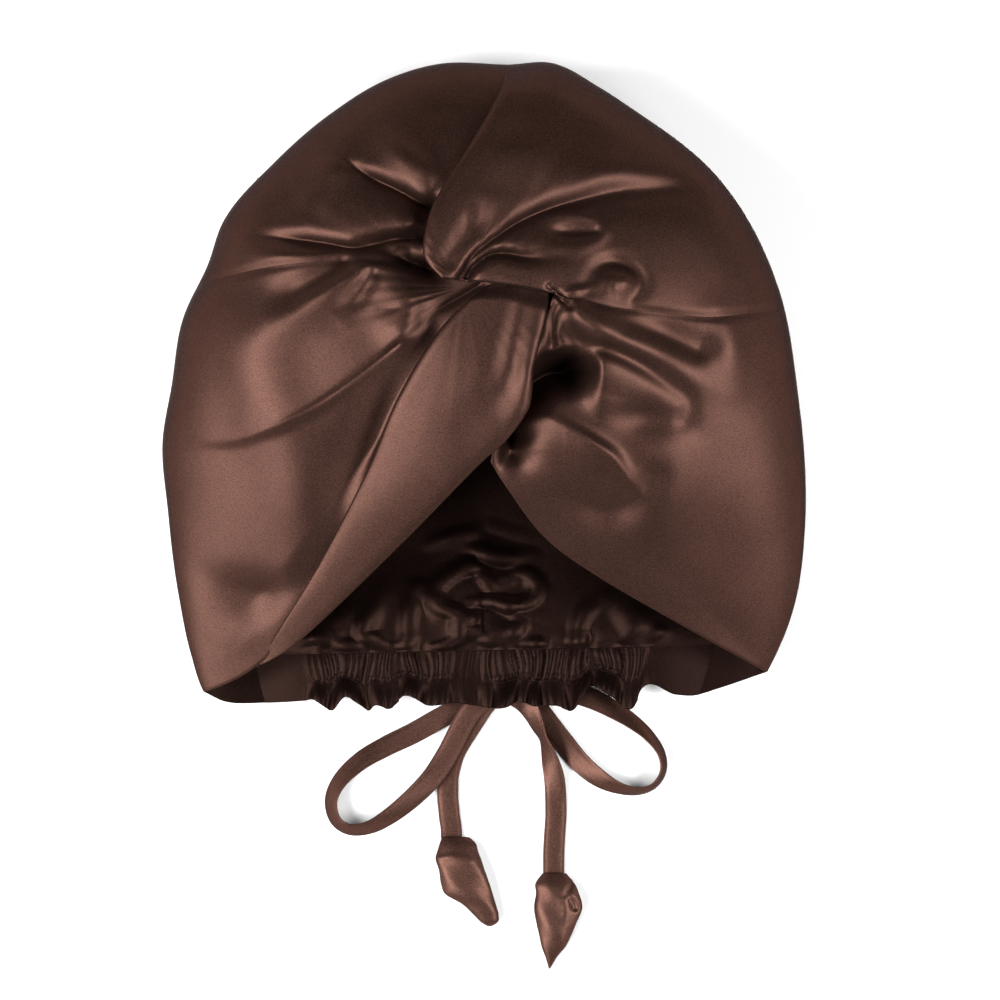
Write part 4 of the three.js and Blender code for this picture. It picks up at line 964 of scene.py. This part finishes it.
def painted_shade_colour(nodes, links, colour, normal, below, above):
    """A colour with painted shade: one share on faces that look down and another on faces that look up."""
    facing = nodes.new("ShaderNodeSeparateXYZ")
    links.new(normal, facing.inputs["Vector"])
    # Painted shade: the share of the tint follows how far each face looks up.
    inside = nodes.new("ShaderNodeMapRange")
    inside.inputs["From Min"].default_value = -0.2
    inside.inputs["From Max"].default_value = 0.75
    inside.inputs["To Min"].default_value = below
    inside.inputs["To Max"].default_value = above
    links.new(facing.outputs["Z"], inside.inputs["Value"])
    sides = colour_mix(nodes, "MULTIPLY")
    sides.inputs["Factor"].default_value = 1.0
    links.new(colour.outputs["Result"], sides.inputs["A"])
    links.new(inside.outputs["Result"], sides.inputs["B"])
    return sides


def weave_relief(nodes, links, grain, threads, strength):
    both = nodes.new("ShaderNodeMath")
    both.operation = "ADD"
    links.new(grain.outputs["Fac"], both.inputs[0])
    links.new(threads.outputs["Fac"], both.inputs[1])
    bump = nodes.new("ShaderNodeBump")
    bump.inputs["Strength"].default_value = strength
    bump.inputs["Distance"].default_value = WEAVE_HEIGHT
    links.new(both.outputs["Value"], bump.inputs["Height"])
    return bump


def satin(name, tint, below, above):
    """Woven satin: a dark base, tinted wide highlights, a fine weave, slow changes of sheen and painted
    shade by facing.
    """
    settings = bpy.context.scene.bonnet_cloth
    material = bpy.data.materials.new(name)
    material.use_nodes = True
    nodes, links = material.node_tree.nodes, material.node_tree.links
    shader = nodes["Principled BSDF"]
    shader.inputs["Metallic"].default_value = settings.metallic
    shader.inputs["Roughness"].default_value = settings.roughness
    shader.inputs["Sheen Weight"].default_value = settings.sheen
    shader.inputs["Specular Tint"].default_value = (*GRAZING_TINT, 1)
    shader.inputs["Sheen Roughness"].default_value = 0.4
    shader.inputs["Sheen Tint"].default_value = (*SHEEN_TINT, 1)
    shader.inputs["Base Color"].default_value = (*tint, 1)
    place_node = nodes.new("ShaderNodeTexCoord")
    cloud = nodes.new("ShaderNodeTexNoise")
    cloud.inputs["Scale"].default_value = 60
    cloud.inputs["Detail"].default_value = 4
    grain = nodes.new("ShaderNodeTexNoise")
    grain.inputs["Scale"].default_value = 1 / WEAVE
    grain.inputs["Detail"].default_value = 3
    threads = nodes.new("ShaderNodeTexWave")
    threads.wave_type = "BANDS"
    threads.bands_direction = "DIAGONAL"
    threads.inputs["Scale"].default_value = 0.5 / WEAVE
    threads.inputs["Distortion"].default_value = 2.0
    threads.inputs["Detail"].default_value = 2
    for node in (cloud, grain, threads):
        links.new(place_node.outputs["Object"], node.inputs["Vector"])
    woven = woven_colour(nodes, links, tint, cloud, grain)
    # Painted shade: the colour is darkened by which way each face looks.
    shaded = painted_shade_colour(nodes, links, woven, place_node.outputs["Normal"], below, above)
    links.new(shaded.outputs["Result"], shader.inputs["Base Color"])
    rough = nodes.new("ShaderNodeMapRange")
    rough.inputs["To Min"].default_value = settings.roughness + ROUGHNESS_CHANGE[0]
    rough.inputs["To Max"].default_value = settings.roughness + ROUGHNESS_CHANGE[1]
    links.new(grain.outputs["Fac"], rough.inputs["Value"])
    links.new(rough.outputs["Result"], shader.inputs["Roughness"])
    bump = weave_relief(nodes, links, grain, threads, settings.weave_strength)
    links.new(bump.outputs["Normal"], shader.inputs["Normal"])
    return material


# Soft boxes round the bonnet: turn from +X, climb above the floor, size in metres and share of the power.
LIGHT_DISTANCE = 1.6
LIGHTS = table("turn climb size share", [
    (183, 42, 0.6, 0.9), (220, 40, 0.6, 0.75), (0, 42, 0.6, 0.6), (330, 40, 0.6, 0.4), (90, 65, 0.6, 0.06),
])
# One satin in every slot: the strings' lighter tint is painted light and the nape's darker tint is painted
# shade.
TINTS = {
    "satin_front": (0.053, 0.0258, 0.0196),
    "satin_back": (0.056, 0.027, 0.021),
    "satin_nape": (0.050, 0.024, 0.0185),
    "satin_strings": (0.080, 0.039, 0.0295),
}
# Painted shade: shares of the tint on faces that look down and on faces that look up.
# The back and the nape are painted darker where they look up, on their inner sides; the front and the
# strings are painted darker where they look sideways or down, on fold walls and along the outline.
PAINTED_SHADES = {
    "satin_front": (0.3, 1.0),
    "satin_back": (1.0, 0.25),
    "satin_nape": (0.8, 0.21),
    "satin_strings": (0.35, 1.0),
}
# Node, surface, columns and rows of each cloth of the front, and how far its rows crowd towards the outline.
FRONT_CLOTHS = (
    ("crown_panel_left", crown_left, 170, 150, 0.65),
    ("front_band_left", front_left, 190, 190, 0.65),
    ("crown_panel_right", crown_right, 200, 190, 0.65),
    ("front_band_right", front_right, 190, 220, 0.65),
    ("twist_band", strip, 60, 220, 0.0),
)
# Columns and rows of points in the back and in the nape. In the back both crowd towards the edges.
BACK_GRID = (281, 141)
NAPE_GRID = (41, 501)


def finish_piece(piece, slot, node):
    """Gives a piece its satin in its slot and its body, and hides the solid that it stands for."""
    name = slot + "_weave"
    material = bpy.data.materials.get(name) or satin(name, TINTS[slot], *PAINTED_SHADES[slot])
    piece.data.materials.append(material)
    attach(piece, "root")
    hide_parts(node)


class BonnetCloth(bpy.types.PropertyGroup):
    gather_height: bpy.props.FloatProperty(
        name="Gathers", description="Height of the fine gathers at the twist", default=0.0003, unit="LENGTH"
    )
    swell_height: bpy.props.FloatProperty(
        name="Swells", description="Height of the cloth's slow waves", default=0.0008, unit="LENGTH"
    )
    metallic: bpy.props.FloatProperty(
        name="Lustre", description="How far highlights take the cloth's tint", default=0.85, subtype="FACTOR"
    )
    roughness: bpy.props.FloatProperty(
        name="Roughness", description="Width of the satin's highlights", default=0.45, subtype="FACTOR"
    )
    sheen: bpy.props.FloatProperty(
        name="Sheen", description="Strength of the soft light along edges", default=0.02, subtype="FACTOR"
    )
    weave_strength: bpy.props.FloatProperty(
        name="Weave", description="Strength of the weave's relief", default=0.15, subtype="FACTOR"
    )


class BonnetStage(bpy.types.PropertyGroup):
    camera_height: bpy.props.FloatProperty(
        name="Camera height", description="Height of the camera above the floor", default=2.5, unit="LENGTH"
    )
    light_power: bpy.props.FloatProperty(
        name="Key light", description="Power in watts of the strongest soft box", default=34.0
    )
    fill: bpy.props.FloatProperty(
        name="Fill", description="Strength of the light from all round", default=0.05, subtype="FACTOR"
    )


class BONNET_OT_stage(bpy.types.Operator):
    """Lays a pale floor and sets up the camera and the studio light"""

    bl_idname = "bonnet.stage"
    bl_label = "Stage and camera"

    def execute(self, context):
        settings = context.scene.bonnet_stage
        camera = bpy.data.cameras.new("camera")
        camera.sensor_width = 36.0
        camera.lens = camera.sensor_width * (settings.camera_height - VIEW_HEIGHT) / VIEW_WIDTH
        camera.clip_end = 20.0
        eye = bpy.data.objects.new("camera", camera)
        eye.location = (*VIEW_CENTRE, settings.camera_height)
        context.scene.collection.objects.link(eye)
        context.scene.camera = eye
        bpy.ops.mesh.primitive_plane_add(size=12.0, location=(0, 0, 0))
        floor = context.object
        floor.name = "floor"
        floor.data.materials.append(self.floor_material())
        for number, row in enumerate(LIGHTS):
            self.light(f"softbox_{number}", row, settings.light_power)
        world = bpy.data.worlds.new("studio")
        world.use_nodes = True
        world.node_tree.nodes["Background"].inputs["Color"].default_value = (1, 1, 1, 1)
        world.node_tree.nodes["Background"].inputs["Strength"].default_value = settings.fill
        context.scene.world = world
        context.scene.view_settings.view_transform = "Standard"
        return {"FINISHED"}

    def floor_material(self):
        material = bpy.data.materials.new("floor")
        material.use_nodes = True
        shader = material.node_tree.nodes["Principled BSDF"]
        shader.inputs["Base Color"].default_value = (0.9, 0.9, 0.9, 1)
        shader.inputs["Roughness"].default_value = 0.9
        shader.inputs["Specular IOR Level"].default_value = 0.1
        return material

    def light(self, name, row, power):
        lamp = bpy.data.lights.new(name, "AREA")
        lamp.energy = row["share"] * power
        lamp.size = row["size"]
        thing = bpy.data.objects.new(name, lamp)
        turn, climb = math.radians(row["turn"]), math.radians(row["climb"])
        level = LIGHT_DISTANCE * math.cos(climb)
        at = Vector((level * math.cos(turn), level * math.sin(turn), LIGHT_DISTANCE * math.sin(climb)))
        thing.location = at + Vector((0, VIEW_CENTRE[1] / 2, 0))
        thing.rotation_euler = (-at).to_track_quat("-Z", "Y").to_euler()
        bpy.context.scene.collection.objects.link(thing)


class BONNET_OT_strings(bpy.types.Operator):
    """Lays the strings of the bow, with their stuffed tips and knot"""

    bl_idname = "bonnet.strings"
    bl_label = "Strings"

    def execute(self, context):
        for node, rows in (("tie_tip_left", LEFT_TIP), ("tie_tip_right", RIGHT_TIP)):
            string = node.replace("tip", "tail")
            tip = tip_piece(node.replace("tie_", "") + "_cloth", rows, string)
            finish_piece(tip, "satin_strings", node)
        finish_piece(knot_piece(), "satin_strings", "tie_knot")
        for seed, node in enumerate(STRING_ROUTES):
            piece, path, length = string_piece(node, seed)
            piece.name = node.replace("tie_", "string_")
            finish_piece(piece, "satin_strings", node)
        return {"FINISHED"}


class BONNET_OT_front(bpy.types.Operator):
    """Drapes the twisted front from its five cloths"""

    bl_idname = "bonnet.front"
    bl_label = "Twisted front"

    def execute(self, context):
        for node, surface, columns, rows, crowd in FRONT_CLOTHS:
            piece = wall(node + "_cloth", grid(surface, columns, rows, crowd), inside=-1)
            finish_piece(piece, "satin_front", node)
        return {"FINISHED"}


class BONNET_OT_back(bpy.types.Operator):
    """Shapes the back with its puckered middle seam"""

    bl_idname = "bonnet.back"
    bl_label = "Back"

    def execute(self, context):
        even = np.linspace(0, 1, BACK_GRID[0])
        u = 0.5 - 0.5 * np.cos(math.pi * even) * (1 - 0.25 * np.sin(math.pi * even) ** 2)
        even = np.linspace(0, 1, BACK_GRID[1])
        v = lerp(even, 0.5 - 0.5 * np.cos(math.pi * even), 0.7)
        points = back(*np.meshgrid(u, v))
        finish_piece(wall("back_cloth", points, inside=1), "satin_back", "back_panel")
        return {"FINISHED"}


class BONNET_OT_nape(bpy.types.Operator):
    """Gathers the casing and the frill of the nape"""

    bl_idname = "bonnet.nape"
    bl_label = "Nape"

    def execute(self, context):
        u, v = np.meshgrid(np.linspace(0, 1, NAPE_GRID[0]), np.linspace(0, 1, NAPE_GRID[1]))
        piece = wall("nape_cloth", nape(u, v), inside=1, cloth=NAPE_CLOTH)
        finish_piece(piece, "satin_nape", "nape_band")
        return {"FINISHED"}


class BONNET_PT_panel(bpy.types.Panel):
    bl_label = "Bonnet"
    bl_idname = "BONNET_PT_panel"
    bl_space_type = "VIEW_3D"
    bl_region_type = "UI"
    bl_category = "Bonnet"

    def draw(self, context):
        for settings in (context.scene.bonnet_cloth, context.scene.bonnet_stage):
            for name in settings.__annotations__:
                self.layout.prop(settings, name)
        for operator in OPERATORS:
            self.layout.operator(operator.bl_idname)


OPERATORS = (BONNET_OT_stage, BONNET_OT_strings, BONNET_OT_front, BONNET_OT_back, BONNET_OT_nape)
CLASSES = (BonnetCloth, BonnetStage, *OPERATORS, BONNET_PT_panel)


def register():
    for cls in CLASSES:
        bpy.utils.register_class(cls)
    bpy.types.Scene.bonnet_cloth = bpy.props.PointerProperty(type=BonnetCloth)
    bpy.types.Scene.bonnet_stage = bpy.props.PointerProperty(type=BonnetStage)


def unregister():
    del bpy.types.Scene.bonnet_stage
    del bpy.types.Scene.bonnet_cloth
    for cls in reversed(CLASSES):
        bpy.utils.unregister_class(cls)


def main():
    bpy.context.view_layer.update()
    register()
    bpy.ops.bonnet.stage()
    bpy.ops.bonnet.strings()
    bpy.ops.bonnet.front()
    bpy.ops.bonnet.back()
    bpy.ops.bonnet.nape()


if __name__ == "__main__":
    main()
